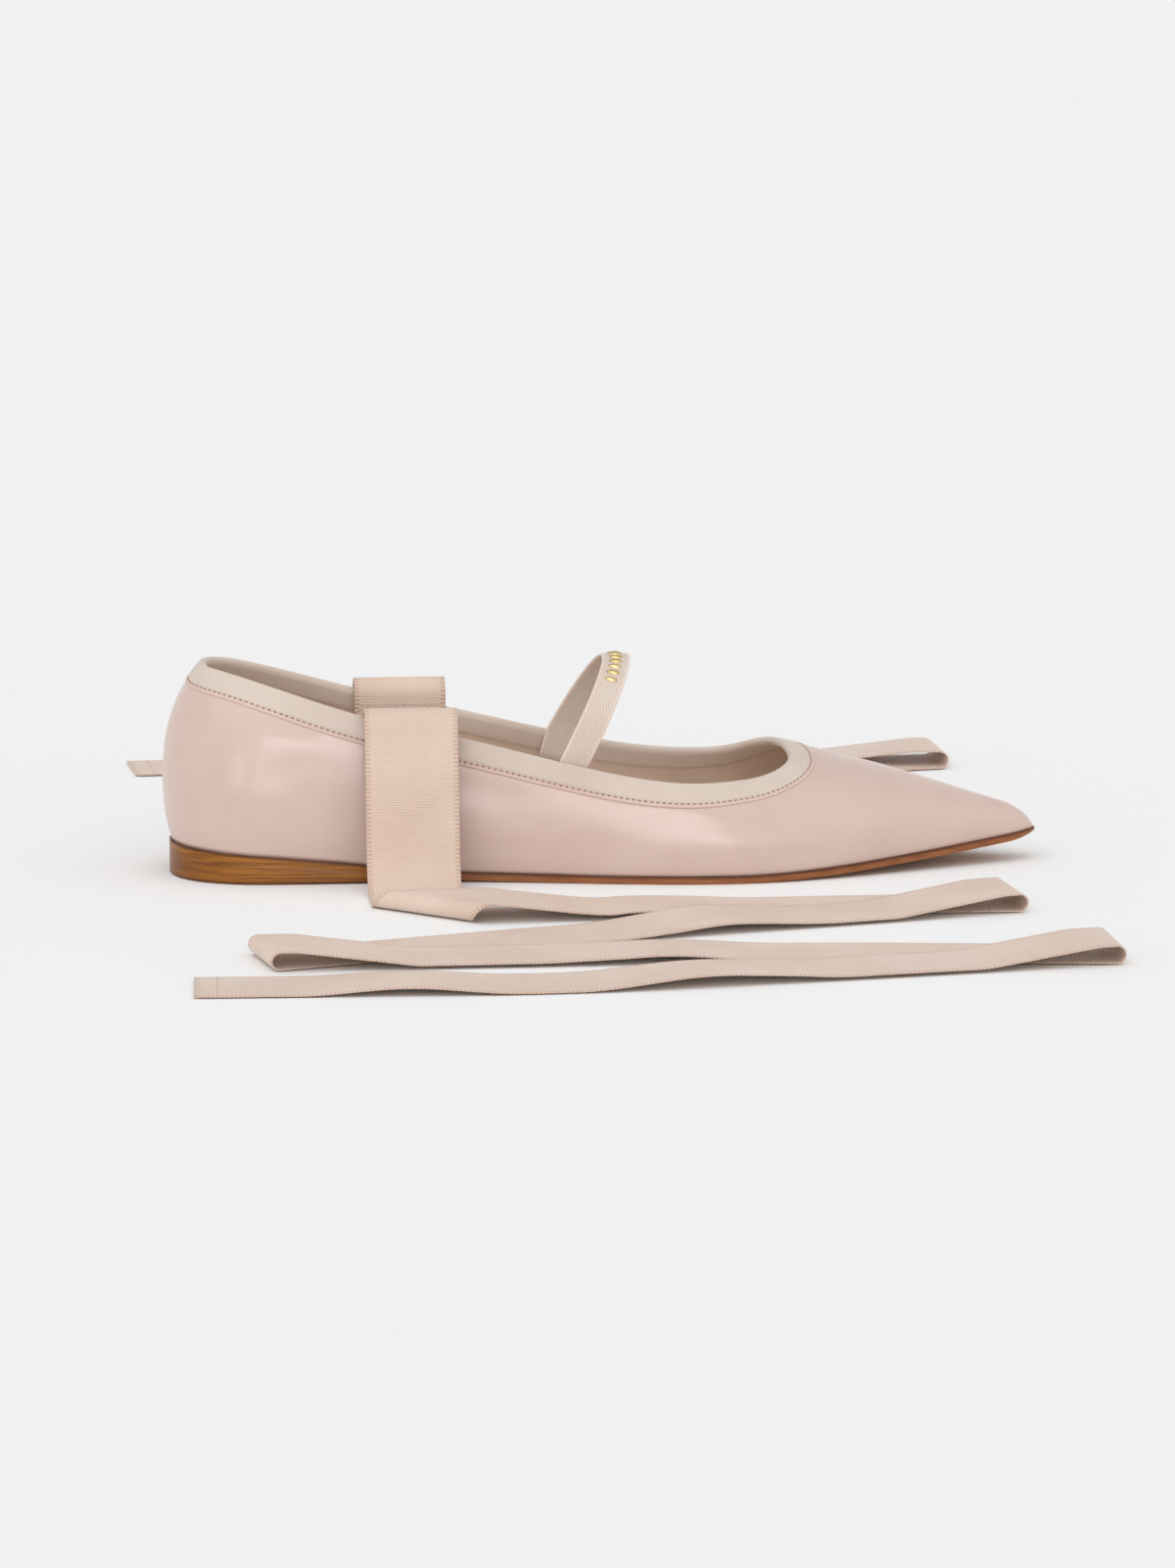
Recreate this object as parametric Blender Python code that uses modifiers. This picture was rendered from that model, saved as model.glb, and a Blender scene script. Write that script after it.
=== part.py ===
"""A pointed ballet flat for the right foot, with a narrow elastic vamp strap and two ankle ribbons.

Metres, +Z up. +X runs from the heel to the toe, -Y is the outer (lateral) side, +Y the inner (medial)
side, and the shoe stands on z = 0, with the origin under the middle of its length and width. Lengths
in the tables are millimetres and pass through MM, and stations there start from the back of the heel.
"""

import math

import bmesh
import bpy
import numpy as np
from mathutils import Vector

MM = 0.001
LATERAL = -1
MEDIAL = 1
ORIGIN = (133.95, -0.35, 0.0)         # the middle of the shoe's length and width, from the back of its heel

# Driving sizes of the last and the making, in millimetres.
TOE_END = 267.3            # front of the upper
TOE_ROUNDING_FROM = 258.0  # where the point starts to close
HEEL_CENTRE = 34.0         # upright axis that the heel's sections turn about
HEEL_BACK_RADIUS = 31.3    # from that axis to the feather line behind the heel
HEEL_SQUARENESS = 2.25     # 2 is a plain ellipse
HEEL_CROWN_RADIUS = 12.4   # from that axis to where the back of the upper would close over
UPPER_WALL = 1.8
SOLE_THICKNESS = 2.1
SOLE_PROUD = 0.6           # how far the sole's edge stands out from the feather line
INSOLE_THICKNESS = 1.8
PIECE_GAP = 0.3            # between two pieces that touch
TREAD_FROM, TREAD_TO = 138.0, 178.0   # the forefoot's flat stretch
TOE_SPRING = 7.4
TOE_SPRING_POWER = 1.4
HEEL_BREAST = 80.0         # front end of the heel wedge

# The throat: where the sides of the topline end and its round front starts, and the front's apex. Each
# half of the front is a piece of an ellipse, whose centre lies behind the corner so that it goes on from
# the side without a kink.
THROAT_CORNER = 172.0
THROAT_APEX = (191.6, -7.0)
THROAT_CENTRE = {"outer": 159.0, "inner": 169.5}
THROAT_END = 214.0         # sections are plain again from here to the toe
SHOULDER = 0.45            # part of a toe section's girth that belongs to its side wall
INSIDE_POINT = (110.0, 0.0, 20.0)     # a place well inside the shoe

# The insole and the vamp strap.
INSOLE_INSET = 2.4         # from the feather line to the insole's edge
INSOLE_END = 256.0
SOLE_EDGE = 0.35           # bevel along the sole's edges
PLATE_EDGE = 0.3           # bevel along the heel's and the insole's
STRAP_STATION = 123.2
STRAP_WIDTH = 8.5
STRAP_THICKNESS = 1.2
STRAP_CREST = 64.6         # height of its centre line over the instep
STRAP_CREST_SHIFT = 2.0
STRAP_LEAN = 15.2          # forward, from the topline to the crest
STRAP_TUCK = 9.0           # sewn in below the topline
STRAP_TUCK_BACK = 2.5

# The ankle ribbons: flat strips that only bend round straight creases, so they keep their length.
RIBBON_LENGTH = 1050.0
RIBBON_WIDTH = 28.0
RIBBON_THICKNESS = 0.5
RIBBON_STATION = 74.0
RIBBON_SEWN = 13.0         # from its sewn end up to the topline's higher edge
RIBBON_EDGE_DROP = 2.0     # the bend over the topline starts this far below that edge
RIBBON_EDGE_RADIUS = 5.0
RIBBON_OVER = 168.0        # degrees turned over the topline
RIBBON_LAND_RADIUS = 14.0
RIBBON_LIFT = 0.35         # under the ribbon on the floor
RIBBON_SETTLE = 34.0       # run in which a folded ribbon sinks onto its lower layer
WALL_SLACK = 0.3           # added inside the wall, whose inner face slopes
RIBBON_STEP_DOWN = 16.0    # run in which it steps off that layer
RIBBON_LAYER = 0.75        # height that one layer takes under the next
SETTLE_RADIUS = 30.0
SLOW_TURN_AFTER = 6.0      # each run then turns slowly in the floor's plane
SLOW_TURN_RUN = 78.0
RIBBON_CLEAR = 3.0         # from a fold to the run that sinks, and past the layer below
RIBBON_REST = 6.0          # between the two
FOLD_COLUMNS = ("along_floor", "crease_degrees", "radius", "slow_turn_degrees")
OUTER_RIBBON_FOLDS = (
    (24.0, 43.0, 2.6, -6.0),
    (204.0, 9.0, 2.6, 5.0),
    (446.0, 10.0, 2.6, -8.0),
    (694.0, 9.0, 2.6, -13.0),
)
INNER_RIBBON_FOLDS = (
    (26.0, -47.0, 2.6, 6.0),
    (200.0, -10.0, 2.6, -4.0),
    (436.0, -9.0, 2.6, 9.0),
    (690.0, -10.0, 2.6, 12.0),
)

# Mesh resolution.
POINTED = 0.05             # a row narrower than this closes in a point
PLATE_STEP = 8.5
HEEL_PLATE_CELLS = 8
STRAP_CELLS = 18
RIBBON_ROW_STEP = 24.0
SLOW_TURN_CELLS = 5
ROW_TURN = math.radians(36)
WALL_CELLS = 8
VAMP_CELLS = 12
HEEL_CELLS = 7
QUARTER_CELLS = 17
THROAT_CELLS = 5
VAMP_STATIONS = 6
TIP_CELLS = 4
TIP_STOP = 0.6             # cells of the upper's tip that its closing face stands for
PLATE_CELLS = 6
SECTION_POINTS = 72
TANGENT_STEP = 0.02
SHARP_ANGLE = math.radians(50)

# One row for each section of the last. Station 0 to 34 turns round the heel, and from there on it is
# the distance from the back. Widths are from the shoe's axis to the feather line.
LAST_COLUMNS = (
    "station", "outer_width", "inner_width", "outer_bulge", "inner_bulge", "wide_rise",
    "crown_rise", "crown_shift",
)
LAST_SECTIONS = (
    (0.0, 25.8, 25.8, 2.7, 2.7, 21.0, 57.0, 0.0),
    (17.0, 26.1, 26.0, 2.7, 2.7, 20.5, 62.0, 0.0),
    (34.0, 26.2, 26.0, 2.6, 2.7, 19.5, 69.0, 0.0),
    (60.0, 26.3, 24.6, 2.6, 3.6, 18.0, 80.0, 0.0),
    (90.0, 26.6, 21.4, 2.9, 5.2, 16.0, 77.0, 1.0),
    (120.0, 31.0, 24.0, 2.6, 4.6, 13.0, 62.5, 3.0),
    (150.0, 36.0, 32.2, 2.1, 2.6, 10.5, 47.5, 5.0),
    (170.0, 37.0, 36.2, 1.8, 1.9, 9.0, 39.6, 6.5),
    (190.0, 34.2, 35.6, 1.6, 1.6, 7.8, 34.0, 7.0),
    (210.0, 27.8, 30.6, 1.4, 1.4, 6.5, 27.9, 6.2),
    (230.0, 19.4, 22.4, 1.2, 1.2, 5.0, 20.7, 4.6),
    (250.0, 10.6, 12.6, 1.0, 1.0, 3.6, 12.4, 2.2),
    (TOE_END, 3.2, 3.8, 0.8, 0.8, 2.2, 5.8, 0.3),
)

# Height of the feather line's sole above the floor, from the heel seat to the forefoot's tread.
SEAT_COLUMNS = ("station", "height")
SEAT_HEIGHTS = (
    (0.0, 10.2), (13.0, 9.4), (25.0, 8.5), (40.0, 7.4), (54.0, 6.1), (67.0, 4.6), (78.0, 3.4),
    (90.0, 2.75), (110.0, 2.4), (TREAD_FROM, 2.1), (150.0, 2.1),
)

# Height of the topline on each side.
TOPLINE_COLUMNS = ("station", "outer", "inner")
TOPLINE_HEIGHTS = (
    (0.0, 64.2, 64.2), (17.0, 63.2, 63.2), (34.0, 58.8, 59.0), (46.0, 54.8, 55.6), (60.0, 50.4, 51.6),
    (88.0, 44.1, 45.6), (108.0, 39.2, 40.8), (130.0, 34.0, 35.4), (148.0, 30.7, 31.8),
    (162.0, 29.5, 30.5), (THROAT_CORNER, 29.8, 30.6), (184.0, 31.4, 31.8),
)


def natural_spline(stations, values):
    """A smooth curve through the values, as a function of the station."""
    stations = np.asarray(stations, float)
    values = np.asarray(values, float)
    steps = np.diff(stations)
    slopes = np.diff(values) / steps
    count = len(stations)
    system = np.eye(count)
    right = np.zeros(count)
    for i in range(1, count - 1):
        system[i, i - 1:i + 2] = steps[i - 1], 2 * (steps[i - 1] + steps[i]), steps[i]
        right[i] = 3 * (slopes[i] - slopes[i - 1])
    curving = np.linalg.solve(system, right)

    def curve(station):
        i = int(np.clip(np.searchsorted(stations, station) - 1, 0, count - 2))
        run = station - stations[i]
        linear = slopes[i] - steps[i] * (2 * curving[i] + curving[i + 1]) / 3
        cubic = (curving[i + 1] - curving[i]) / (3 * steps[i])
        return float(values[i] + run * (linear + run * (curving[i] + run * cubic)))

    return curve


def splines(columns, rows):
    """One smooth curve for each named column after the first."""
    table = np.array(rows)
    return {name: natural_spline(table[:, 0], table[:, i]) for i, name in enumerate(columns) if i}


last = splines(LAST_COLUMNS, LAST_SECTIONS)
seat = splines(SEAT_COLUMNS, SEAT_HEIGHTS)["height"]
topline = splines(TOPLINE_COLUMNS, TOPLINE_HEIGHTS)


def side_name(side):
    return "outer" if side == LATERAL else "inner"


def tip_closing(x):
    """1 along the shoe, falling to 0 as a quarter round at the toe's end."""
    into = max(0.0, (x - TOE_ROUNDING_FROM) / (TOE_END - TOE_ROUNDING_FROM))
    return math.sqrt(max(0.0, 1 - into * into))


def sole_top(x):
    """Height of the sole's upper face: heel seat, waist, flat tread, then toe spring."""
    if x < TREAD_FROM:
        return seat(x)
    if x < TREAD_TO:
        return SOLE_THICKNESS
    run = (x - TREAD_TO) / (TOE_END - TREAD_TO)
    return SOLE_THICKNESS + TOE_SPRING * run ** TOE_SPRING_POWER


def heel_turn(station):
    """Angle of a heel section about the heel's axis, 0 at the back and a right angle at the sides."""
    return 0.5 * math.pi * min(1.0, station / HEEL_CENTRE)


def feather_radius(station, side):
    """Distance of the feather line from the heel's axis, or past it from the shoe's axis."""
    if station >= HEEL_CENTRE:
        return last[side_name(side) + "_width"](station) * tip_closing(station)
    turn = heel_turn(station)
    half_width = last[side_name(side) + "_width"](HEEL_CENTRE)
    back = (math.cos(turn) / HEEL_BACK_RADIUS) ** HEEL_SQUARENESS
    across = (math.sin(turn) / half_width) ** HEEL_SQUARENESS
    return (back + across) ** (-1 / HEEL_SQUARENESS)


def section_frame(station, side):
    """Where a section's plane stands, and its outward direction, in plan."""
    if station >= HEEL_CENTRE:
        return np.array([station, 0.0]), np.array([0.0, float(side)])
    turn = heel_turn(station)
    return np.array([HEEL_CENTRE, 0.0]), np.array([-math.cos(turn), side * math.sin(turn)])


def feather_point(station, side):
    """Plan position of the feather line."""
    origin, outward = section_frame(station, side)
    return origin + outward * feather_radius(station, side)


def outline_point(station, side, out):
    """Plan position of a line that runs outside the feather line, or inside it where out is negative."""
    here = feather_point(station, side)
    before = feather_point(max(0.0, station - TANGENT_STEP), side)
    after = feather_point(min(TOE_END, station + TANGENT_STEP), side)
    tangent = (after - before) / np.linalg.norm(after - before)
    return here + out * side * np.array([-tangent[1], tangent[0]])


def half_section(station, side):
    """The outer surface at one station, from the feather line up over the widest point to the crown."""
    origin, outward = section_frame(station, side)
    closing = tip_closing(station)
    foot = feather_radius(station, side)
    bulge = last[side_name(side) + "_bulge"](station) * closing
    foot_x = float(feather_point(station, side)[0])
    foot_z = sole_top(foot_x) + PIECE_GAP / 2
    wide_z = foot_z + last["wide_rise"](station) * closing
    crown_z = foot_z + last["crown_rise"](station) * closing
    if station >= HEEL_CENTRE:
        crown = side * last["crown_shift"](station) * closing
    else:
        crown = HEEL_CROWN_RADIUS * math.cos(heel_turn(station)) ** 2
    turn = np.linspace(0, 0.5 * math.pi, SECTION_POINTS)
    lower = np.stack([foot + bulge * np.sin(turn), foot_z + (wide_z - foot_z) * (1 - np.cos(turn))], 1)
    upper = np.stack(
        [crown + (foot + bulge - crown) * np.cos(turn), wide_z + (crown_z - wide_z) * np.sin(turn)], 1
    )
    profile = np.concatenate([lower, upper[1:]])
    plan = origin + outward * profile[:, :1]
    return np.column_stack([plan, profile[:, 1]])


def girths(section):
    """Length along a section up to each of its points."""
    return np.concatenate([[0.0], np.cumsum(np.linalg.norm(np.diff(section, axis=0), axis=1))])


def along(section, lengths):
    """Points of a section at the given lengths along it."""
    girth = girths(section)
    return np.stack([np.interp(lengths, girth, section[:, i]) for i in range(3)], 1)


def wall_points(station, side, top_length):
    """A column of points up a side wall, from the feather line to the given girth."""
    return along(half_section(station, side), np.linspace(0, top_length, WALL_CELLS + 1))


def topline_length(station, side):
    """Girth at which a side's section reaches the topline."""
    section = half_section(station, side)
    return float(np.interp(topline[side_name(side)](station), section[:, 2], girths(section)))


def topline_point(station, side):
    return along(half_section(station, side), [topline_length(station, side)])[0]


def full_section(x):
    """A whole section over the vamp, from the outer feather line to the inner one."""
    return np.concatenate([half_section(x, LATERAL), half_section(x, MEDIAL)[-2::-1]])


def vamp_height(x, y):
    """Height of the vamp's surface above a point in plan, above its widest line."""
    section = full_section(x)
    widest = [int(np.argmin(section[:, 1])), int(np.argmax(section[:, 1]))]
    top = section[widest[0]:widest[1] + 1]
    return float(np.interp(y, top[:, 1], top[:, 2]))


def throat_front():
    """Plan points of the throat's round front, from the outer corner over the apex to the inner one."""
    apex_x, apex_y = THROAT_APEX
    points = []
    for i in range(VAMP_CELLS + 1):
        share = 2 * i / VAMP_CELLS - 1
        side = LATERAL if share < 0 else MEDIAL
        centre = THROAT_CENTRE[side_name(side)]
        reach_x = apex_x - centre
        start = math.acos((THROAT_CORNER - centre) / reach_x)
        reach_y = abs(topline_point(THROAT_CORNER, side)[1] - apex_y) / math.sin(start)
        turn = start * abs(share)
        points.append((centre + reach_x * math.cos(turn), apex_y + side * reach_y * math.sin(turn)))
    return np.array(points)


def vamp_points(x):
    """Points over a toe section between the two shoulders, evenly along the girth."""
    halves = {side: half_section(x, side) for side in (LATERAL, MEDIAL)}
    section = full_section(x)
    total = girths(section)[-1]
    start = SHOULDER * girths(halves[LATERAL])[-1]
    stop = total - SHOULDER * girths(halves[MEDIAL])[-1]
    return along(section, np.linspace(start, stop, VAMP_CELLS + 1))


def length_at_y(section, y):
    """Girth at which a side's section, past its widest point, reaches a distance from the axis."""
    widest = int(np.argmax(np.abs(section[:, 1])))
    reach = np.abs(section[widest:, 1] - section[-1, 1])[::-1]
    lengths = girths(section)[widest:][::-1]
    return float(np.interp(abs(y - section[-1, 1]), reach, lengths))


def shoe_row(outer_wall, vamp, inner_wall):
    """One mesh row right over the shoe, from the outer feather line to the inner one."""
    return np.concatenate([outer_wall[:-1], vamp, inner_wall[-2::-1]])


def upper_rows():
    """The rear's open rows (outer and inner walls) and the front's closed rows."""
    rear = list(np.linspace(0, HEEL_CENTRE, HEEL_CELLS + 1))
    rear += list(np.linspace(HEEL_CENTRE, THROAT_CORNER, QUARTER_CELLS + 1)[1:])
    walls = {
        side: [wall_points(u, side, topline_length(u, side)) for u in rear] for side in (LATERAL, MEDIAL)
    }
    front = []
    start_plan = throat_front()
    end_points = vamp_points(THROAT_END)
    for k in range(THROAT_CELLS + 1):
        share = k / THROAT_CELLS
        x = THROAT_CORNER + (THROAT_END - THROAT_CORNER) * share
        plan = start_plan * (1 - share) + end_points[:, :2] * share
        vamp = np.array([(px, py, vamp_height(px, py)) for px, py in plan])
        sides = []
        for side, end in ((LATERAL, 0), (MEDIAL, -1)):
            sides.append(wall_points(x, side, length_at_y(half_section(x, side), vamp[end][1])))
        front.append(shoe_row(sides[0], vamp, sides[1]))
    stations = list(np.linspace(THROAT_END, TOE_ROUNDING_FROM, VAMP_STATIONS + 1)[1:])
    for i in range(1, TIP_CELLS + 1):
        turn = 0.5 * math.pi * i / (TIP_CELLS + TIP_STOP)
        stations.append(TOE_ROUNDING_FROM + (TOE_END - TOE_ROUNDING_FROM) * math.sin(turn))
    for x in stations:
        outer, inner = (
            wall_points(x, side, SHOULDER * girths(half_section(x, side))[-1])
            for side in (LATERAL, MEDIAL)
        )
        front.append(shoe_row(outer, vamp_points(x), inner))
    return walls, front


# ---- making objects ----

def material(name, colour, roughness):
    """A plain material of one colour."""
    made = bpy.data.materials.new(name)
    made.use_nodes = True
    shader = made.node_tree.nodes["Principled BSDF"]
    shader.inputs["Base Color"].default_value = (*colour, 1)
    shader.inputs["Roughness"].default_value = roughness
    shader.inputs["Metallic"].default_value = 0.0
    return made


def add_piece(name, mesh, surface):
    """Puts a finished bmesh into the shoe's collection as one named object."""
    data = bpy.data.meshes.new(name)
    bmesh.ops.translate(mesh, vec=-Vector(ORIGIN), verts=mesh.verts)
    bmesh.ops.scale(mesh, vec=(MM, MM, MM), verts=mesh.verts)
    mesh.to_mesh(data)
    mesh.free()
    data.shade_smooth()
    data.set_sharp_from_angle(angle=SHARP_ANGLE)
    data.materials.append(surface)
    piece = bpy.data.objects.new(name, data)
    shoe.objects.link(piece)
    return piece


def loft(mesh, rows):
    """Quads between rows of vertices. A row with one vertex closes as a fan."""
    for low, high in zip(rows, rows[1:]):
        for i in range(max(len(low), len(high)) - 1):
            ring = [low[min(i, len(low) - 1)], low[min(i + 1, len(low) - 1)]]
            ring += [high[min(i + 1, len(high) - 1)], high[min(i, len(high) - 1)]]
            mesh.faces.new(list(dict.fromkeys(ring)))


def vertex_rows(mesh, rows):
    return [[mesh.verts.new(Vector(map(float, point))) for point in row] for row in rows]


def give_wall(piece, thickness):
    wall = piece.modifiers.new("wall", "SOLIDIFY")
    wall.thickness = thickness * MM
    wall.offset = -1.0
    wall.use_even_offset = False
    return wall


def make_upper():
    """The leather upper: one shell, open at the throat and along the feather line."""
    walls, front = upper_rows()
    mesh = bmesh.new()
    front_rows = vertex_rows(mesh, front)
    back = vertex_rows(mesh, walls[LATERAL][:1])[0]
    for side in (LATERAL, MEDIAL):
        corner = front_rows[0][::-1] if side == MEDIAL else front_rows[0]
        loft(mesh, [back] + vertex_rows(mesh, walls[side][1:-1]) + [corner[:WALL_CELLS + 1]])
    loft(mesh, front_rows)
    mesh.faces.new(front_rows[-1])
    bmesh.ops.recalc_face_normals(mesh, faces=mesh.faces)
    point_outward(mesh)
    piece = add_piece("upper", mesh, nappa)
    give_wall(piece, UPPER_WALL)
    return piece


def point_outward(mesh):
    """Turns an open shell's faces away from the shoe's inside."""
    inside = Vector(INSIDE_POINT)
    facing = [
        face.calc_area() * face.normal.dot(face.calc_center_median() - inside) for face in mesh.faces
    ]
    if sum(facing) < 0:
        bmesh.ops.reverse_faces(mesh, faces=mesh.faces)


def plate(name, last_station, out, heights, surface, edge):
    """A plate between two heights, its outline running a little outside or inside the feather line."""
    bottom, top = heights
    lower, upper = [], []
    for station in plate_stations(last_station):
        outer = outline_point(station, LATERAL, out)
        inner = outline_point(station, MEDIAL, out)
        pointed = np.linalg.norm(outer - inner) < POINTED
        shares = [0.5] if pointed else np.linspace(0, 1, PLATE_CELLS + 1)
        plan = [outer * (1 - share) + inner * share for share in shares]
        upper.append([(x, y, top(x)) for x, y in plan])
        lower.append([(x, y, bottom(x)) for x, y in plan])
    mesh = bmesh.new()
    top_rows = vertex_rows(mesh, upper)
    bottom_rows = vertex_rows(mesh, lower)
    loft(mesh, top_rows)
    loft(mesh, bottom_rows)
    for end in (0, -1):
        rim = [[row[end] for row in top_rows], [row[end] for row in bottom_rows]]
        loft(mesh, rim)
        if len(top_rows[end]) > 1:
            loft(mesh, [top_rows[end], bottom_rows[end]])
    bmesh.ops.recalc_face_normals(mesh, faces=mesh.faces)
    piece = add_piece(name, mesh, surface)
    rounding = piece.modifiers.new("edge", "BEVEL")
    rounding.width = edge * MM
    rounding.segments = 1
    rounding.limit_method = "ANGLE"
    rounding.angle_limit = SHARP_ANGLE
    return piece


def plate_stations(last_station):
    """Stations for a plate: close together round the heel and at the toe's point."""
    stations = list(np.linspace(0, HEEL_CENTRE, HEEL_PLATE_CELLS + 1))
    plain_end = min(last_station, TOE_ROUNDING_FROM)
    count = round((plain_end - HEEL_CENTRE) / PLATE_STEP)
    stations += list(np.linspace(HEEL_CENTRE, plain_end, count + 1)[1:])
    if last_station > TOE_ROUNDING_FROM:
        for i in range(1, TIP_CELLS + 1):
            turn = 0.5 * math.pi * i / TIP_CELLS
            stations.append(TOE_ROUNDING_FROM + (last_station - TOE_ROUNDING_FROM) * math.sin(turn))
    return stations


def make_outsole():
    """The thin leather sole, from the heel seat to just past the toe."""
    def top(x):
        return sole_top(x) - PIECE_GAP / 2

    def bottom(x):
        return sole_top(x) - SOLE_THICKNESS

    return plate("outsole", TOE_END, SOLE_PROUD, (bottom, top), sole_leather, SOLE_EDGE)


def make_heel():
    """The low stacked wedge under the heel seat, running out under the waist."""
    def top(x):
        return sole_top(x) - SOLE_THICKNESS - PIECE_GAP

    return plate("heel", HEEL_BREAST, SOLE_PROUD, (lambda x: 0.0, top), heel_leather, PLATE_EDGE)


def make_insole():
    """The insole and its sock, lying inside the upper."""
    def bottom(x):
        return sole_top(x) + PIECE_GAP / 2

    def top(x):
        return bottom(x) + INSOLE_THICKNESS

    return plate("insole", INSOLE_END, -INSOLE_INSET, (bottom, top), lining, PLATE_EDGE)


def inner_wall(station, side, height):
    """Plan distance from the shoe's axis to the upper's inner face at a height."""
    section = half_section(station, side)
    return abs(float(np.interp(height, section[:, 2], section[:, 1]))) - UPPER_WALL


def strip(name, rows, thickness, surface):
    """A band of cloth through rows of points across it."""
    mesh = bmesh.new()
    loft(mesh, vertex_rows(mesh, rows))
    bmesh.ops.recalc_face_normals(mesh, faces=mesh.faces)
    piece = add_piece(name, mesh, surface)
    give_wall(piece, thickness).offset = 0.0
    return piece


def strap_path():
    """Centre line of the vamp strap: up inside the outer wall, over the instep, down the inner one."""
    clear = PIECE_GAP + STRAP_THICKNESS / 2 + WALL_SLACK
    foot = {}
    for side in (LATERAL, MEDIAL):
        edge = topline[side_name(side)](STRAP_STATION)
        foot[side] = (side * (inner_wall(STRAP_STATION, side, edge) - clear), edge)
    crest_y = 0.5 * (foot[LATERAL][0] + foot[MEDIAL][0]) + STRAP_CREST_SHIFT
    points = []
    for i in range(STRAP_CELLS + 1):
        turn = math.pi * i / STRAP_CELLS
        side = LATERAL if math.cos(turn) > 0 else MEDIAL
        foot_y, foot_z = foot[side]
        y = crest_y + (foot_y - crest_y) * abs(math.cos(turn))
        z = foot_z + (STRAP_CREST - foot_z) * math.sin(turn)
        lean = STRAP_LEAN * (z - foot_z) / (STRAP_CREST - foot_z)
        points.append((STRAP_STATION + lean, y, z))
    ends = [(STRAP_STATION - STRAP_TUCK_BACK, y, z - STRAP_TUCK) for y, z in (foot[LATERAL], foot[MEDIAL])]
    return np.array([ends[0]] + points + [ends[1]])


def make_vamp_strap():
    """The narrow elastic over the instep."""
    path = strap_path()
    tangents = np.gradient(path, axis=0)
    tangents /= np.linalg.norm(tangents, axis=1)[:, None]
    forward = np.array([1.0, 0.0, 0.0])
    rows = []
    for point, tangent in zip(path, tangents):
        across = forward - tangent * (forward @ tangent)
        across *= 0.5 * STRAP_WIDTH / np.linalg.norm(across)
        rows.append([point - across, point, point + across])
    return strip("vamp_strap", rows, STRAP_THICKNESS, elastic)


def bent(flat, material, bends):
    """Rolls a flat strip round its bends, each a cylinder lying across the strip at its crease angle.

    flat holds the points in the strip's own frame (along, across, up), and material the same points'
    lengths along and across before any bend. The last bend is made first. A bend with no crease is a
    slow turn in the strip's own plane, over the length given in place of a radius.
    """
    points = flat.copy()
    up = np.array([0.0, 0.0, 1.0])
    for at, crease, size, turn in reversed(bends):
        slow = crease is None
        slant = 0.0 if slow else crease
        ahead = np.array([math.cos(slant), math.sin(slant), 0.0])
        past = (material[:, 0] - at) * ahead[0] + material[:, 1] * ahead[1]
        length = size if slow else size * abs(turn)
        rolled = np.clip(past, 0, length)
        if slow:
            axis = up
            centre = np.cross(up, ahead) * length / turn
        else:
            axis = np.cross(ahead, up)
            centre = up * math.copysign(size, turn)
        centre = centre + np.array([at, 0.0, 0.0])
        angle = (turn * rolled / length)[:, None]
        start = points - ahead * rolled[:, None] - centre
        turned = start * np.cos(angle) + np.cross(axis, start) * np.sin(angle)
        turned += axis * (start @ axis)[:, None] * (1 - np.cos(angle))
        points = np.where(past[:, None] > 0, turned + centre, points)
    return points


def ribbon_bends(side, floor_rows):
    """All of a ribbon's bends: over the topline, out along the floor, then the folds it lies in."""
    edge = topline[side_name(side)](RIBBON_STATION - RIBBON_WIDTH / 2)
    start_z = edge - RIBBON_SEWN
    top_at = RIBBON_SEWN - RIBBON_EDGE_DROP
    over = math.radians(RIBBON_OVER)
    landing = over - 0.5 * math.pi
    height = start_z + top_at + RIBBON_EDGE_RADIUS * math.sin(over)
    height -= RIBBON_THICKNESS / 2 + RIBBON_LIFT + RIBBON_LAND_RADIUS * (1 - math.cos(landing))
    drop = height / math.sin(landing)
    land_at = top_at + RIBBON_EDGE_RADIUS * over + drop
    bends = [(top_at, 0.0, RIBBON_EDGE_RADIUS, over), (land_at, 0.0, RIBBON_LAND_RADIUS, -landing)]
    floor_at = land_at + RIBBON_LAND_RADIUS * landing
    up = -1
    for at, crease, radius, slow_turn in floor_rows:
        crease = math.radians(crease)
        bends.append((floor_at + at, crease, radius, up * math.pi))
        up = -up
        fold_end = floor_at + at + radius * math.pi
        onto = fold_end + RIBBON_WIDTH * 0.5 * abs(math.tan(crease)) + RIBBON_CLEAR
        off = fold_end + RIBBON_WIDTH / math.sin(2 * abs(crease)) + RIBBON_CLEAR
        for start, run, sink in (
            (onto, RIBBON_SETTLE, 2 * radius - RIBBON_LAYER),
            (max(off, onto + RIBBON_SETTLE + RIBBON_REST), RIBBON_STEP_DOWN, RIBBON_LAYER),
        ):
            slope = math.asin(sink / run)
            bends.append((start, 0.0, SETTLE_RADIUS, -up * slope))
            bends.append((start + run, 0.0, SETTLE_RADIUS, up * slope))
        bends.append((start + run + SLOW_TURN_AFTER, None, SLOW_TURN_RUN, up * math.radians(slow_turn)))
    return start_z, bends


def ribbon_row_places(bends):
    """Where the strip's rows cross it, as a length along and the slant of the row."""
    places = [(0.0, 0.0)]
    for at, crease, size, turn in bends:
        slow = crease is None
        slant = 0.0 if slow else crease
        length = size if slow else size * abs(turn)
        cells = max(1, round(abs(turn) / ROW_TURN)) if not slow else SLOW_TURN_CELLS
        for i in range(cells + 1):
            places.append((at + length * i / cells / math.cos(slant), -math.tan(slant)))
    places.append((RIBBON_LENGTH, 0.0))
    filled = [places[0]]
    for (low, low_slant), (high, high_slant) in zip(places, places[1:]):
        cells = max(1, math.ceil((high - low) / RIBBON_ROW_STEP))
        for i in range(1, cells + 1):
            share = i / cells
            filled.append((low + (high - low) * share, low_slant + (high_slant - low_slant) * share))
    return filled


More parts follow.
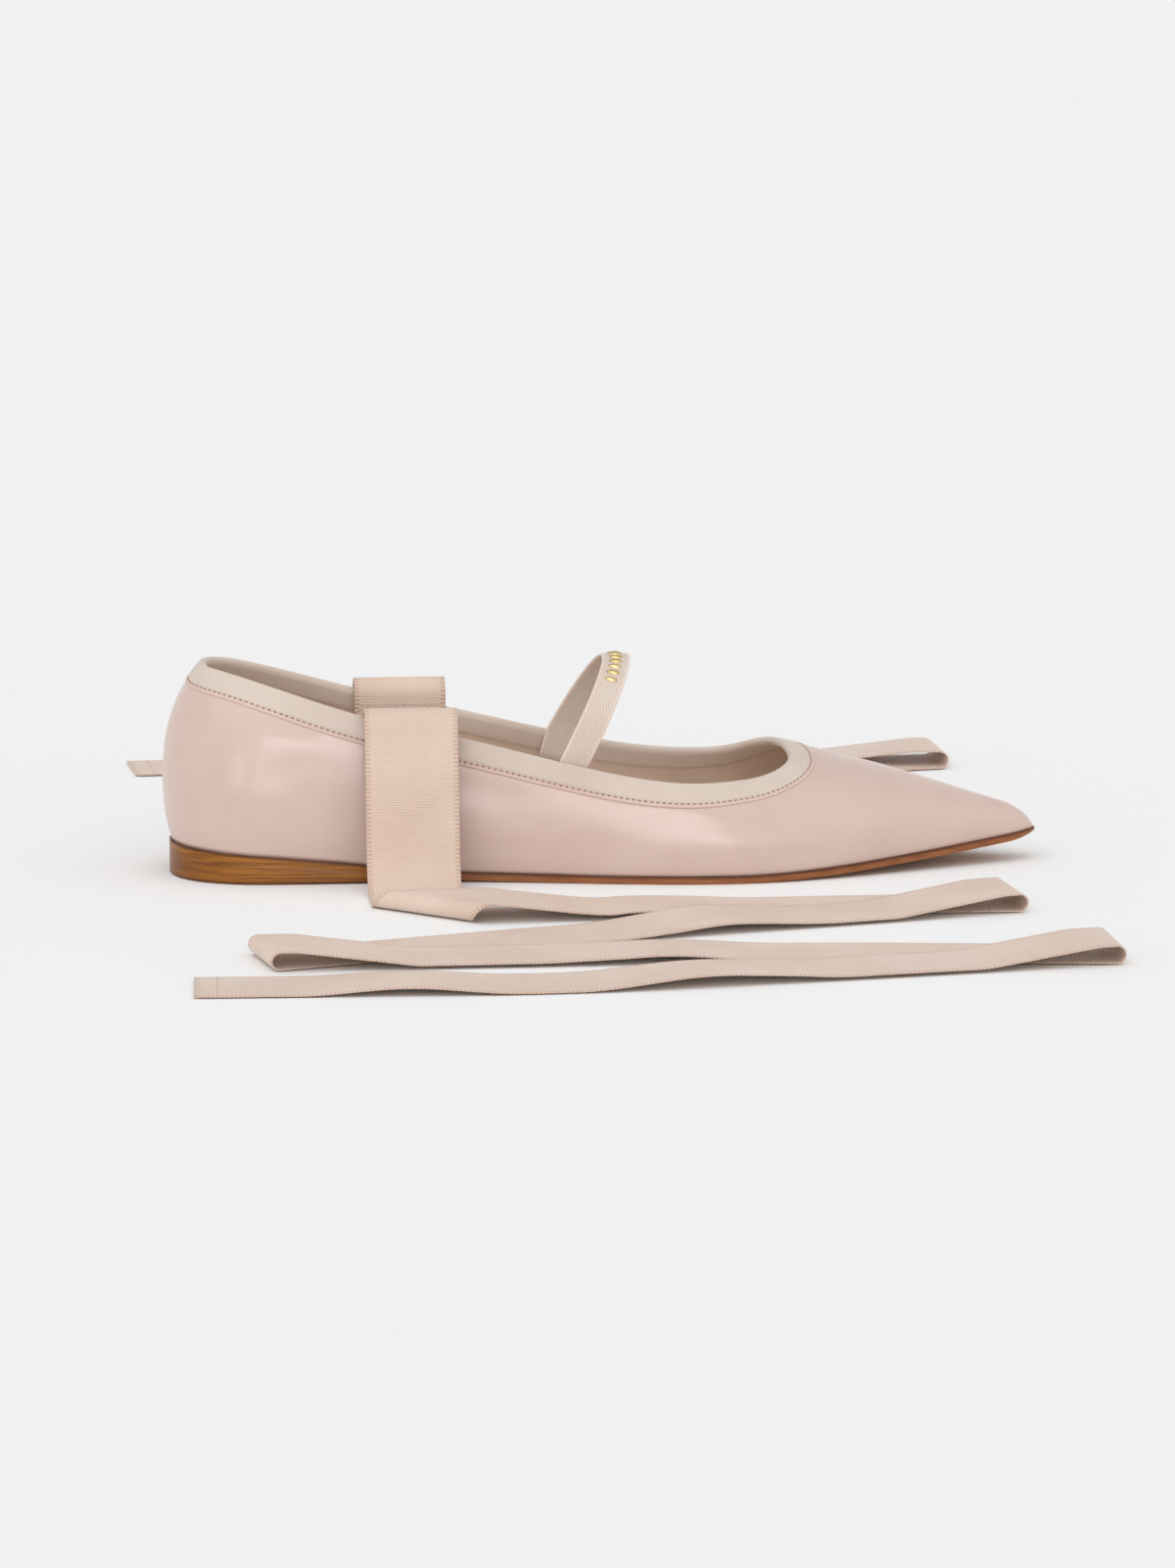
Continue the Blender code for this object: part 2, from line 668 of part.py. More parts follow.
def make_ribbon(name, side, floor_rows):
    """One ankle ribbon, sewn inside a quarter, hanging over the topline and lying on the floor."""
    start_z, bends = ribbon_bends(side, floor_rows)
    across = np.array([-0.5, 0.0, 0.5]) * RIBBON_WIDTH
    places = ribbon_row_places(bends)
    material = np.array([(at + slant * v, v) for at, slant in places for v in across])
    flat = np.column_stack([material, np.zeros(len(material))])
    placed = bent(flat, material, bends)
    walls = [
        inner_wall(station, side, topline[side_name(side)](station))
        for station in (RIBBON_STATION - RIBBON_WIDTH / 2, RIBBON_STATION + RIBBON_WIDTH / 2)
    ]
    start_y = side * (min(walls) - PIECE_GAP - RIBBON_THICKNESS / 2 - WALL_SLACK)
    start = np.array([RIBBON_STATION, start_y, start_z])
    frame = np.array([(0.0, 0.0, 1.0), (float(side), 0.0, 0.0), (0.0, float(side), 0.0)])
    world = (start + placed @ frame).reshape(len(places), len(across), 3)
    return strip(name, world, RIBBON_THICKNESS, satin)


for leftover in list(bpy.data.objects):
    bpy.data.objects.remove(leftover, do_unlink=True)

shoe = bpy.data.collections.new("ballet_flat")
bpy.context.scene.collection.children.link(shoe)

nappa = material("nappa", (0.70, 0.53, 0.47), 0.38)
sole_leather = material("sole_leather", (0.26, 0.09, 0.03), 0.45)
heel_leather = material("heel_leather", (0.32, 0.12, 0.03), 0.45)
lining = material("lining", (0.74, 0.62, 0.53), 0.55)
elastic = material("elastic", (0.74, 0.62, 0.53), 0.70)
satin = material("satin", (0.74, 0.56, 0.46), 0.42)

make_upper()
make_outsole()
make_heel()
make_insole()
make_vamp_strap()
make_ribbon("ribbon_tie_outer", LATERAL, OUTER_RIBBON_FOLDS)
make_ribbon("ribbon_tie_inner", MEDIAL, INNER_RIBBON_FOLDS)
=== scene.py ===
# %% [markdown]
# # A ballet flat, dressed over its CAD frame
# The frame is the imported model: one solid for each piece a maker would cut. It is never changed here.
# Each step below looks at one piece or finish of the real shoe, says how it could be made in Blender,
# and makes it. Blender works in metres, so sizes named in millimetres are multiplied by MM. +X points to
# the toe, -Y to the outer side and +Z up.

# %% Load the frame
import math

import bmesh
import bpy
import numpy as np
from mathutils import Matrix, Vector, noise
from mathutils.bvhtree import BVHTree


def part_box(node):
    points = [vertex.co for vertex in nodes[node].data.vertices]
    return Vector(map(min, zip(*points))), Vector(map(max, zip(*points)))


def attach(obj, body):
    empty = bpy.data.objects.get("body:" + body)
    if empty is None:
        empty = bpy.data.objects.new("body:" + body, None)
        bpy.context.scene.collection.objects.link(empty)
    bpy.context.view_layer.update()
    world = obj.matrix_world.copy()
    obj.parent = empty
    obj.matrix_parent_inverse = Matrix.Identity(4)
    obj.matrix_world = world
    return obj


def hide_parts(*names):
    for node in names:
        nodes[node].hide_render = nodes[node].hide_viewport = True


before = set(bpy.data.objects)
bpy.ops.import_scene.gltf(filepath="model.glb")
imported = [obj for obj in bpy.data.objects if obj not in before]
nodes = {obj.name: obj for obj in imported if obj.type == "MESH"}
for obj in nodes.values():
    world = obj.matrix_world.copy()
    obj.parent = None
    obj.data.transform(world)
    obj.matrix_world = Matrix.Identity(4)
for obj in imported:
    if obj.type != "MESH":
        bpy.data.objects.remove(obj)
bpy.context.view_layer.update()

MM = 0.001
print("pieces in the frame:", sorted(nodes))

# %% [markdown]
# ## The camera
# A shoe is sold by its outer side, seen from slightly above and from a long way back, so that the toe
# and the heel keep their true sizes. A long lens does that. The camera stands 2.2 m away, 9.5 degrees up
# and 5 degrees round towards the heel, and looks at the middle of the shoe.

# %% Camera
AIM = Vector((-4.0, 0.4, 25.0)) * MM
DISTANCE = 2.2
ELEVATION = math.radians(9.5)
ROUND_TO_HEEL = math.radians(5.0)
LENS = 165.4


def put_in_scene(name, data):
    """A new object that holds a mesh, a camera or a lamp."""
    thing = bpy.data.objects.new(name, data)
    bpy.context.scene.collection.objects.link(thing)
    return thing


def face_along(thing, direction):
    """Turns a camera or a lamp to look along a direction."""
    thing.rotation_mode = "QUATERNION"
    thing.rotation_quaternion = Vector(direction).to_track_quat("-Z", "Y")


sight = Vector((
    math.sin(ROUND_TO_HEEL) * math.cos(ELEVATION),
    math.cos(ROUND_TO_HEEL) * math.cos(ELEVATION),
    -math.sin(ELEVATION),
))
camera = put_in_scene("camera", bpy.data.cameras.new("camera"))
camera.data.lens = LENS
camera.location = AIM - sight * DISTANCE
face_along(camera, sight)
bpy.context.scene.camera = camera
bpy.context.scene.view_settings.view_transform = "Standard"
print("camera at", [round(c, 3) for c in camera.location])

# %% [markdown]
# ## Handing a piece over
# Every new piece needs the same few things: a mesh, a finish, smooth shading, a place on the shoe's one
# body, and the solids it stands for hidden. One helper does that, so that none is forgotten.

# %% Helpers for pieces
SAME_PLACE = 1e-6          # corners nearer than this are one corner


def add_piece(name, mesh, finishes, stands_for=()):
    """Puts a mesh in as a piece of the shoe and gives it its finishes."""
    piece = put_in_scene(name, mesh)
    for finish in finishes:
        mesh.materials.append(finish)
    mesh.shade_smooth()
    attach(piece, "root")
    if stands_for:
        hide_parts(*stands_for)
    print(name + ":", len(mesh.polygons), "faces")
    return piece


def mesh_from(form, name):
    """A bmesh's shape as a new mesh. The bmesh is let go."""
    mesh = bpy.data.meshes.new(name)
    form.to_mesh(mesh)
    form.free()
    return mesh


def quads_of(node):
    """A copy of a solid's mesh with its corners merged and its triangles paired into quads."""
    form = bmesh.new()
    form.from_mesh(nodes[node].data)
    bmesh.ops.remove_doubles(form, verts=form.verts, dist=SAME_PLACE)
    bmesh.ops.join_triangles(
        form, faces=form.faces, angle_face_threshold=math.radians(40),
        angle_shape_threshold=math.radians(80),
    )
    form.normal_update()
    return form


def smoothed(form, levels, name):
    """The bmesh's subdivision surface, as a new mesh."""
    holder = put_in_scene(name + "_cage", mesh_from(form, name + "_cage"))
    subdivision = holder.modifiers.new("smooth", "SUBSURF")
    subdivision.levels = subdivision.render_levels = levels
    graph = bpy.context.evaluated_depsgraph_get()
    mesh = bpy.data.meshes.new_from_object(holder.evaluated_get(graph))
    mesh.name = name
    bpy.data.objects.remove(holder)
    return mesh


def points_of(mesh):
    """A mesh's vertices as an array."""
    flat = np.empty(len(mesh.vertices) * 3)
    mesh.vertices.foreach_get("co", flat)
    return flat.reshape(-1, 3)


def set_points(mesh, points):
    """Moves a mesh's vertices to new places."""
    mesh.vertices.foreach_set("co", np.asarray(points, float).ravel())
    mesh.update()


# %% [markdown]
# ## Shader maths as plain expressions
# A finish is worked out with Math nodes. Wiring them one at a time hides what they do, so a small class
# wraps a socket and lets numbers and sockets be added and multiplied like any values. A second class holds
# a material's node tree: it starts the values, mixes the colours, and joins the results to the shader.

# %% Helpers for finishes
class Wire:
    """What comes out of one socket of a shader. Where it is a number, it can be added and multiplied."""

    def __init__(self, finish, socket):
        self.finish = finish
        self.socket = socket

    def maths(self, operation, *values):
        """One Math node, with this number as its first value."""
        return self.finish.node("ShaderNodeMath", {"operation": operation}, self, *values)

    def __add__(self, other):
        return self.maths("ADD", other)

    def __sub__(self, other):
        return self.maths("SUBTRACT", other)

    def __rsub__(self, other):
        return self.finish.node("ShaderNodeMath", {"operation": "SUBTRACT"}, other, self)

    def __mul__(self, other):
        return self.maths("MULTIPLY", other)

    __radd__ = __add__
    __rmul__ = __mul__

    def size(self):
        """The number without its sign."""
        return self.maths("ABSOLUTE")

    def wave(self, pitch):
        """A smooth wave between 0 and 1 that repeats at every pitch."""
        return (self * (2 * math.pi / pitch)).maths("SINE") * 0.5 + 0.5

    def step(self, start, end):
        """0 before start, 1 after end, smooth between. start may be the larger."""
        smooth = {"interpolation_type": "SMOOTHSTEP"}
        return self.finish.node("ShaderNodeMapRange", smooth, self, start, end, 0.0, 1.0)


class Finish:
    """A material with a Principled shader, and short ways to add nodes to it."""

    def __init__(self, name, roughness=0.5, **steady):
        self.colour = None
        self.material = bpy.data.materials.new(name)
        self.material.use_nodes = True
        self.tree = self.material.node_tree
        self.shader = self.tree.nodes["Principled BSDF"]
        self.shader.inputs["Roughness"].default_value = roughness
        for socket, value in steady.items():
            self.shader.inputs[socket.replace("_", " ")].default_value = value

    def feed(self, socket, value):
        """Links a wire to a socket, or sets a plain value on it."""
        if isinstance(value, Wire):
            self.tree.links.new(value.socket, socket)
        else:
            socket.default_value = value

    def node(self, kind, settings, *values, output=0, **named):
        """Any node: its type, its settings, and the values or wires of its sockets, in order or by name."""
        made = self.tree.nodes.new(kind)
        for key, value in settings.items():
            setattr(made, key, value)
        sockets = [socket for socket in made.inputs if socket.enabled]
        for socket, value in zip(sockets, values):
            self.feed(socket, value)
        for key, value in named.items():
            self.feed(made.inputs[key.replace("_", " ")], value)
        return Wire(self, made.outputs[output])

    def spot(self):
        """Object coordinates: the place on the shoe, in metres."""
        return self.node("ShaderNodeTexCoord", {}, output="Object")

    def axes(self, vector):
        """The three numbers of a vector."""
        split = self.node("ShaderNodeSeparateXYZ", {}, vector)
        return [Wire(self, socket) for socket in split.socket.node.outputs]

    def cloth(self):
        """The piece's own length and width, in metres."""
        return self.axes(self.node("ShaderNodeUVMap", {"uv_map": "cloth"}))[:2]

    def facing_up(self):
        """1 where the surface faces straight up, and -1 where it faces down."""
        return self.axes(self.node("ShaderNodeNewGeometry", {}, output="Normal"))[2]

    def carried(self, name):
        """A number that the mesh carries on its points."""
        return self.node("ShaderNodeAttribute", {"attribute_name": name}, output="Fac")

    def noise(self, clouds, detail, turn=(0, 0, 0), rough=0.55):
        """Cloudy noise from 0 to 1, with so many clouds to a metre, or three numbers for the three axes."""
        stretch = clouds if isinstance(clouds, tuple) else (clouds,) * 3
        spot = self.node("ShaderNodeMapping", {}, self.spot(), (0, 0, 0), turn, stretch)
        return self.node("ShaderNodeTexNoise", {}, Vector=spot, Scale=1.0, Detail=detail, Roughness=rough)

    def mix(self, share, low, high):
        """A colour between two, where a colour is a wire or a swatch."""
        made = self.tree.nodes.new("ShaderNodeMix")
        made.data_type = "RGBA"
        self.feed(made.inputs["Factor"], share)
        for key, colour in (("A", low), ("B", high)):
            socket = [s for s in made.inputs if s.name == key and s.type == "RGBA"][0]
            self.feed(socket, colour if isinstance(colour, Wire) else shade(*colour))
        return Wire(self, [s for s in made.outputs if s.type == "RGBA"][0])

    def mottle(self, share, low, high):
        """Starts the finish's colour, as a mix of two."""
        self.colour = self.mix(share, low, high)

    def tint(self, share, colour):
        """Lays one more colour over the finish's own."""
        self.colour = self.mix(share, self.colour, colour)

    def wear(self, roughness=None, height=None, relief=None):
        """Feeds the shader and gives the material. height is 0 to 1 and relief is its depth in metres."""
        self.feed(self.shader.inputs["Base Color"], self.colour)
        if roughness is not None:
            self.feed(self.shader.inputs["Roughness"], roughness)
        if height is not None:
            bump = self.node("ShaderNodeBump", {}, Strength=1.0, Distance=relief, Height=height)
            self.feed(self.shader.inputs["Normal"], bump)
        return self.material


def shade(*swatch):
    """A colour as a shader wants it, from the 0 to 255 values of a swatch that isn't near black."""
    return (*(((value / 255 + 0.055) / 1.055) ** 2.4 for value in swatch), 1.0)


# %% [markdown]
# ## The ankle ribbons
# Two flat ribbons are sewn inside the quarters. Worn, they wind up the leg. Here the shoe stands empty,
# so each one hangs over the topline, lands on the floor and lies there in flat folds. A ribbon can't
# stretch, so simulating it isn't needed: a flat strip rolled round straight creases keeps its length
# and width exactly. A bend is a place along the strip, the crease's slant, a radius and a turn. A bend
# with no crease is a slow turn in the floor's plane, over a length in place of a radius.

# %% The ribbons' sizes and folds, in millimetres
RIBBON_LENGTH = 1050.0
RIBBON_WIDTH = 28.0
RIBBON_THICKNESS = 0.5     # the room the strip is given at the wall and over the floor
SATIN_THICKNESS = 0.42     # the cloth itself, a little thinner
RIBBON_STATION = -59.95
RIBBON_SEWN = 13.0
EDGE_DROP, EDGE_RADIUS = 2.0, 5.0
OVER = math.radians(168)
LAND_RADIUS = 14.0
LIFT = 0.35
SETTLE, STEP_DOWN, LAYER, SETTLE_RADIUS = 34.0, 16.0, 0.75, 30.0
SLOW_TURN_AFTER, SLOW_TURN_RUN = 6.0, 78.0
CLEAR, REST = 3.0, 6.0
TOPLINE_AT_RIBBON = {"outer": 50.4, "inner": 51.6}
# Each fold: length past the landing, crease's slant in degrees, radius, and slow turn after it in degrees.
FOLDS = {
    "outer": ((24, 43, 2.6, -6), (204, 9, 2.6, 5), (446, 10, 2.6, -8), (694, 9, 2.6, -13)),
    "inner": ((26, -47, 2.6, 6), (200, -10, 2.6, -4), (436, -9, 2.6, 9), (690, -10, 2.6, 12)),
}
# Where the cloth stands a little off the floor: place along the ribbon, length of the wave, height.
WAVES = {
    "outer": ((186, 60, 1.5), (392, 76, 2.2), (650, 72, 1.8), (906, 80, 2.6), (990, 64, 1.6)),
    "inner": ((184, 58, 1.4), (384, 74, 2.0), (636, 76, 2.0), (900, 74, 2.3), (984, 70, 1.9)),
}
# How much higher each wave stands at one edge than at the other, as a share of its height.
WAVE_LEANS = {"outer": (-0.35, 0.35, -0.35, -0.35, -0.35), "inner": (0.35,) * 5}
# The stretch that hangs stands out a little from the quarter: its start, its end and how far it stands.
HANGING = (24.0, 62.0, 2.2)

# %% Roll a flat strip round its creases
def bent(flat, material, bends):
    """Rolls points of a flat strip round its bends, the last bend first."""
    points = flat.copy()
    up = np.array([0.0, 0.0, 1.0])
    for at, crease, size, turn in reversed(bends):
        slow = crease is None
        slant = crease or 0.0
        ahead = np.array([math.cos(slant), math.sin(slant), 0.0])
        past = (material[:, 0] - at) * ahead[0] + material[:, 1] * ahead[1]
        length = size if slow else size * abs(turn)
        rolled = np.clip(past, 0, length)
        axis = up if slow else np.cross(ahead, up)
        centre = np.cross(axis, ahead) * length / turn + np.array([at, 0.0, 0.0])
        angle = (turn * rolled / length)[:, None]
        start = points - ahead * rolled[:, None] - centre
        turned = start * np.cos(angle) + np.cross(axis, start) * np.sin(angle)
        turned += axis * (start @ axis)[:, None] * (1 - np.cos(angle))
        points = np.where(past[:, None] > 0, turned + centre, points)
    return points


# %% List a ribbon's bends
def ribbon_bends(side):
    """A ribbon's bends: over the topline, out along the floor, then its folds."""
    start_z = TOPLINE_AT_RIBBON[side] - RIBBON_SEWN
    top_at = RIBBON_SEWN - EDGE_DROP
    landing = OVER - math.pi / 2
    height = start_z + top_at + EDGE_RADIUS * math.sin(OVER)
    height -= RIBBON_THICKNESS / 2 + LIFT + LAND_RADIUS * (1 - math.cos(landing))
    land_at = top_at + EDGE_RADIUS * OVER + height / math.sin(landing)
    bends = [(top_at, 0.0, EDGE_RADIUS, OVER), (land_at, 0.0, LAND_RADIUS, -landing)]
    floor_at = land_at + LAND_RADIUS * landing
    up = -1                   # which way the next fold turns the strip over
    for at, slant, radius, slow_turn in FOLDS[side]:
        crease = math.radians(slant)
        bends.append((floor_at + at, crease, radius, up * math.pi))
        up = -up
        # Past a fold the strip sinks onto the layer below it, and then off that layer onto the floor.
        fold_end = floor_at + at + radius * math.pi
        onto = fold_end + RIBBON_WIDTH * 0.5 * abs(math.tan(crease)) + CLEAR
        off = max(fold_end + RIBBON_WIDTH / math.sin(2 * abs(crease)) + CLEAR, onto + SETTLE + REST)
        for start, run, sink in ((onto, SETTLE, 2 * radius - LAYER), (off, STEP_DOWN, LAYER)):
            slope = math.asin(sink / run)
            bends.append((start, 0.0, SETTLE_RADIUS, -up * slope))
            bends.append((start + run, 0.0, SETTLE_RADIUS, up * slope))
        bends.append((start + run + SLOW_TURN_AFTER, None, SLOW_TURN_RUN, up * math.radians(slow_turn)))
    return start_z, bends


def row_places(bends, spacing):
    """Where the strip's rows lie, as a length along and a slant that follows the nearest crease."""
    places = [(0.0, 0.0)]
    for at, crease, size, turn in bends:
        slant = crease or 0.0
        length = size if crease is None else size * abs(turn)
        cells = max(2, round(abs(turn) / math.radians(15)))
        for i in range(cells + 1):
            places.append((at + length * i / cells / math.cos(slant), -math.tan(slant)))
    places.append((RIBBON_LENGTH, 0.0))
    filled = places[:1]
    for low, high in zip(places, places[1:]):
        cells = max(1, math.ceil((high[0] - low[0]) / spacing))
        filled.extend(np.linspace(low, high, cells + 1)[1:])
    return filled


# %% Lay the ribbons' cloth
# The columns of the cloth's grid lie closer together at its woven edges.
HALF_COLUMNS = (3.0, 6.0, 9.0, 12.0, 13.0, 13.6, 14.0)
COLUMNS = [-across for across in reversed(HALF_COLUMNS)] + [0.0, *HALF_COLUMNS]
ROW_SPACING = 3.4


def ribbon_surface(side, material):
    """World points of places on a ribbon's cloth, given as lengths along and across it."""
    sign = -1 if side == "outer" else 1
    start_z, bends = ribbon_bends(side)
    flat = np.column_stack([material, np.zeros(len(material))])
    placed = bent(flat, material, bends)
    low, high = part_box("ribbon_tie_" + side)
    wall_side = high.y / MM if sign < 0 else low.y / MM
    start = np.array([RIBBON_STATION, wall_side + sign * RIBBON_THICKNESS / 2, start_z])
    turn = np.array([(0.0, 0.0, 1.0), (float(sign), 0.0, 0.0), (0.0, float(sign), 0.0)])
    world = start + placed @ turn
    across = material[:, 1] / RIBBON_WIDTH
    for (at, length, height), lean in zip(WAVES[side], WAVE_LEANS[side]):
        share = np.clip((material[:, 0] - at) / length + 0.5, 0, 1)
        world[:, 2] += height * (1 + lean * across) * np.sin(math.pi * share) ** 2
    start_at, end_at, bow = HANGING
    share = np.clip((material[:, 0] - start_at) / (end_at - start_at), 0, 1)
    crown = 1.0 - 0.7 * (2 * across) ** 2 + 0.25 * across     # more in the middle than at the edges
    world[:, 1] += sign * bow * crown * np.sin(math.pi * share) ** 2
    return world


def woven(points, cloth, columns):
    """A grid through rows of points, whose UV map is each point's length and width on the cloth."""
    form = bmesh.new()
    bmesh.ops.create_grid(form, x_segments=columns - 1, y_segments=len(points) // columns - 1, size=1.0)
    layer = form.loops.layers.uv.new("cloth")
    spots = {}
    for vert, point, spot in zip(form.verts, points, cloth):
        vert.co = point
        spots[vert] = spot
    for face in form.faces:
        for loop in face.loops:
            loop[layer].uv = spots[loop.vert]
    return form


def ribbon_mesh(side):
    """A ribbon's cloth, before it gets its thickness."""
    places = row_places(ribbon_bends(side)[1], ROW_SPACING)
    material = np.array([(at + slant * across, across) for at, slant in places for across in COLUMNS])
    form = woven(ribbon_surface(side, material) * MM, material * MM, len(COLUMNS))
    return mesh_from(form, "ribbon_tie_" + side + "_satin")


# %% [markdown]
# ## Satin for the ribbons
# A ribbon is woven with fine ribs right across it, and its two edges have a row of tiny loops that look
# like stitching. Both follow the cloth, so they are drawn on the piece's own UV map, which keeps the
# cloth's flat length and width in metres. The sheen is soft and broken by the ribs.

# %% Ribbon finish
RIB_PITCH, WARP_PITCH, LOOP_PITCH, HEM_PITCH = 0.78 * MM, 0.5 * MM, 1.25 * MM, 2.2 * MM
HEM = 6.5 * MM
SELVEDGE = (12.2 * MM, 12.8 * MM)      # where the woven edge starts, measured from the ribbon's middle


def ribbon_finish():
    """Satin with fine ribs across it, slow changes of tone, stitched edges and a hem at the free end."""
    cloth = Finish("satin_ribbon", 0.48, Sheen_Weight=0.35, Sheen_Roughness=0.4, Specular_IOR_Level=0.4)
    along, across = cloth.cloth()
    rib = along.wave(RIB_PITCH)
    warp = across.wave(WARP_PITCH)
    edge = across.size().step(*SELVEDGE)
    loops = along.wave(LOOP_PITCH)
    half = RIBBON_LENGTH * MM / 2
    from_end = half - (along - half).size()
    hem_line = (from_end - HEM).size().step(0.5 * MM, 0.2 * MM) * across.wave(HEM_PITCH).step(0.4, 0.6)
    cloudy = cloth.noise(38.0, 2.0)
    cloth.mottle(cloudy.step(0.35, 0.7), (223, 198, 180), (230, 208, 192))
    cloth.tint(rib * 0.22, (206, 176, 156))
    cloth.tint(edge * (1 - loops) * 0.55, (186, 146, 124))
    cloth.tint(hem_line * 0.7, (196, 160, 140))
    height = (rib * 0.6 + warp * 0.18) * (1 - edge) + edge * loops * 1.3 - hem_line * 0.6
    rough = 0.42 + rib * 0.14 + cloudy * 0.08
    return cloth.wear(rough, height, 0.00012)


satin = ribbon_finish()

# %% Make the two ribbons
PATH_STEP = 3.0

for side in ("outer", "inner"):
    name = "ribbon_tie_" + side
    ribbon = add_piece(name + "_satin", ribbon_mesh(side), [satin], [name])
    thickness = ribbon.modifiers.new("thickness", "SOLIDIFY")
    thickness.thickness = SATIN_THICKNESS * MM
    thickness.offset = 0.0
    steps = np.arange(0.0, RIBBON_LENGTH + PATH_STEP / 2, PATH_STEP)
    middle = ribbon_surface(side, np.column_stack([steps, np.zeros(len(steps))])) * MM
    print("its middle line comes down to", round(middle[:, 2].min() / MM, 2), "mm")

# %% [markdown]
# ## The upper's outer skin
# The solid of the upper is a closed shell with a wall. Its outer skin is what a maker would cut from
# nappa, so it is taken off first: starting from the widest face, the region grows over every edge that
# isn't sharp, and stops at the topline and at the sole. Subdivision then rounds the facets away. The
# skin keeps the last's true shape, which modelling it afresh would lose.

# %% Take the outer skin
SHARP = math.radians(48)


def skin_of(form):
    """Deletes all but the outward skin of a closed shell."""
    start = max(form.faces, key=lambda face: abs(face.calc_center_median().y))
    kept, waiting = {start}, [start]
    while waiting:
        for edge in waiting.pop().edges:
            if len(edge.link_faces) < 2 or edge.calc_face_angle() > SHARP:
                continue
            for face in edge.link_faces:
                if face not in kept:
                    kept.add(face)
                    waiting.append(face)
    bmesh.ops.delete(form, geom=[face for face in form.faces if face not in kept], context="FACES")
    return form


upper_skin = smoothed(skin_of(quads_of("upper")), 2, "upper_nappa")
print("upper skin:", len(upper_skin.polygons), "faces")

# %% [markdown]
# ## Soft creases
# Thin nappa is never quite even: it dimples under the binding where the stitching gathers it, and
# shows a soft trough where the shoe bends behind the toes. Each crease is a line on the skin with a
# width and a depth, pressed in with a smooth bell shape, and a small ridge stands beside it.

# %% Press the creases
# Start and end of each line in plan, with its height above the floor at both ends, then width and
# depth, all in millimetres. A negative depth is a ridge.
CREASES = (
    ((0, -36, 25.5), (44, -37, 22.0), 5.0, -0.38),
    ((4, -38, 18.5), (52, -36, 16.0), 8.0, 0.34),
    ((34, -38, 12), (66, -31, 13), 6.0, -0.30),
    ((-52, -29, 40), (-14, -31, 31), 8.0, -0.40),
    ((-60, -30, 32), (-24, -33, 24), 9.0, 0.32),
    ((-108, -25, 46), (-84, -28, 41), 7.0, -0.42),
    ((-118, -22, 38), (-92, -27, 31), 9.0, 0.34),
    ((-120, -20, 27), (-96, -26, 24), 9.0, -0.28),
    ((58, -12, 31), (80, 14, 27), 7.0, 0.40),
    ((66, -16, 28), (88, 8, 25), 6.0, -0.28),
    ((34, 39, 19), (60, 35, 18), 8.0, 0.45),
    ((44, 38, 12), (70, 33, 12), 6.0, -0.28),
    ((-30, 28, 24), (-4, 27, 20), 9.0, 0.36),
    ((-90, 29, 42), (-66, 28, 33), 10.0, -0.36),
)

CREASE_BELL = 0.42         # how wide a crease's bell is, as a share of its width
CREASE_END = 0.08          # the part of a crease's swell and fade that is left out at each end


def nearest_on_line(points, start, end):
    """Distance of each point from a straight line, and 0 to 1 along it."""
    run = end - start
    share = np.clip((points - start) @ run / (run @ run), 0, 1)
    return np.linalg.norm(points - start - share[:, None] * run, axis=1), share


def normals_of(mesh):
    """The direction that each vertex faces."""
    return np.array([vertex.normal for vertex in mesh.vertices])


def press(mesh, creases):
    """Pushes a skin in along each crease."""
    points = points_of(mesh)
    push = np.zeros(len(points))
    for start, end, width, depth in creases:
        far, share = nearest_on_line(points, np.array(start) * MM, np.array(end) * MM)
        fade = np.sin(math.pi * (CREASE_END + (1 - 2 * CREASE_END) * share))
        push -= depth * MM * fade * np.exp(-0.5 * (far / (CREASE_BELL * width * MM)) ** 2)
    set_points(mesh, points + normals_of(mesh) * push[:, None])


press(upper_skin, CREASES)
print("creases pressed:", len(CREASES))

# %% Leave the hide a little uneven
# A hide is never quite flat either: a slow unevenness, under a tenth of a millimetre, breaks its gleam.
UNEVEN, UNEVEN_RUN = 0.07, 13.0

skin_points = points_of(upper_skin)
ripple = np.array([noise.noise(Vector(point) / (UNEVEN_RUN * MM)) for point in skin_points])
set_points(upper_skin, skin_points + normals_of(upper_skin) * ripple[:, None] * UNEVEN * MM)

# %% [markdown]
# ## The topline
# The top edge is one closed line round the foot. The skin's border has two loops, the topline and the
# feather line on the sole, and the topline is the higher one. It is walked corner by corner, then
# measured off in even steps, because the binding, its stitches and its seam all follow it.

# %% Walk the topline
TOPLINE_STEP = 1.0
TOPLINE_ROUNDS = 26


def border_loops(mesh):
    """The closed loops of a skin's open border, as lists of points."""
    form = bmesh.new()
    form.from_mesh(mesh)
    border = [edge for edge in form.edges if edge.is_boundary]
    left = set(border)
    loops = []
    for begin in border:      # in the mesh's own order, so that every run starts at the same corner
        if begin not in left:
            continue
        left.discard(begin)
        first, here = begin.verts
        loop = [first.co.copy(), here.co.copy()]
        while here is not first:
            edge = [other for other in here.link_edges if other in left][0]
            left.discard(edge)
            here = edge.other_vert(here)
            loop.append(here.co.copy())
        loops.append(np.array(loop[:-1]))
    form.free()
    return loops


def lengths_along(line):
    """How far along a line each of its points is."""
    return np.concatenate([[0], np.cumsum(np.linalg.norm(np.diff(line, axis=0), axis=1))])


def evenly(loop, spacing):
    """Points at even steps along a closed loop, and its length."""
    closed = np.vstack([loop, loop[:1]])
    lengths = lengths_along(closed)
    count = round(lengths[-1] / spacing)
    marks = np.arange(count) * lengths[-1] / count
    return np.stack([np.interp(marks, lengths, closed[:, i]) for i in range(3)], 1), lengths[-1]


def eased(loop, rounds):
    """A closed loop with its small kinks smoothed away, each point drawn towards its neighbours."""
    for _ in range(rounds):
        loop = 0.5 * loop + 0.25 * (np.roll(loop, 1, axis=0) + np.roll(loop, -1, axis=0))
    return loop


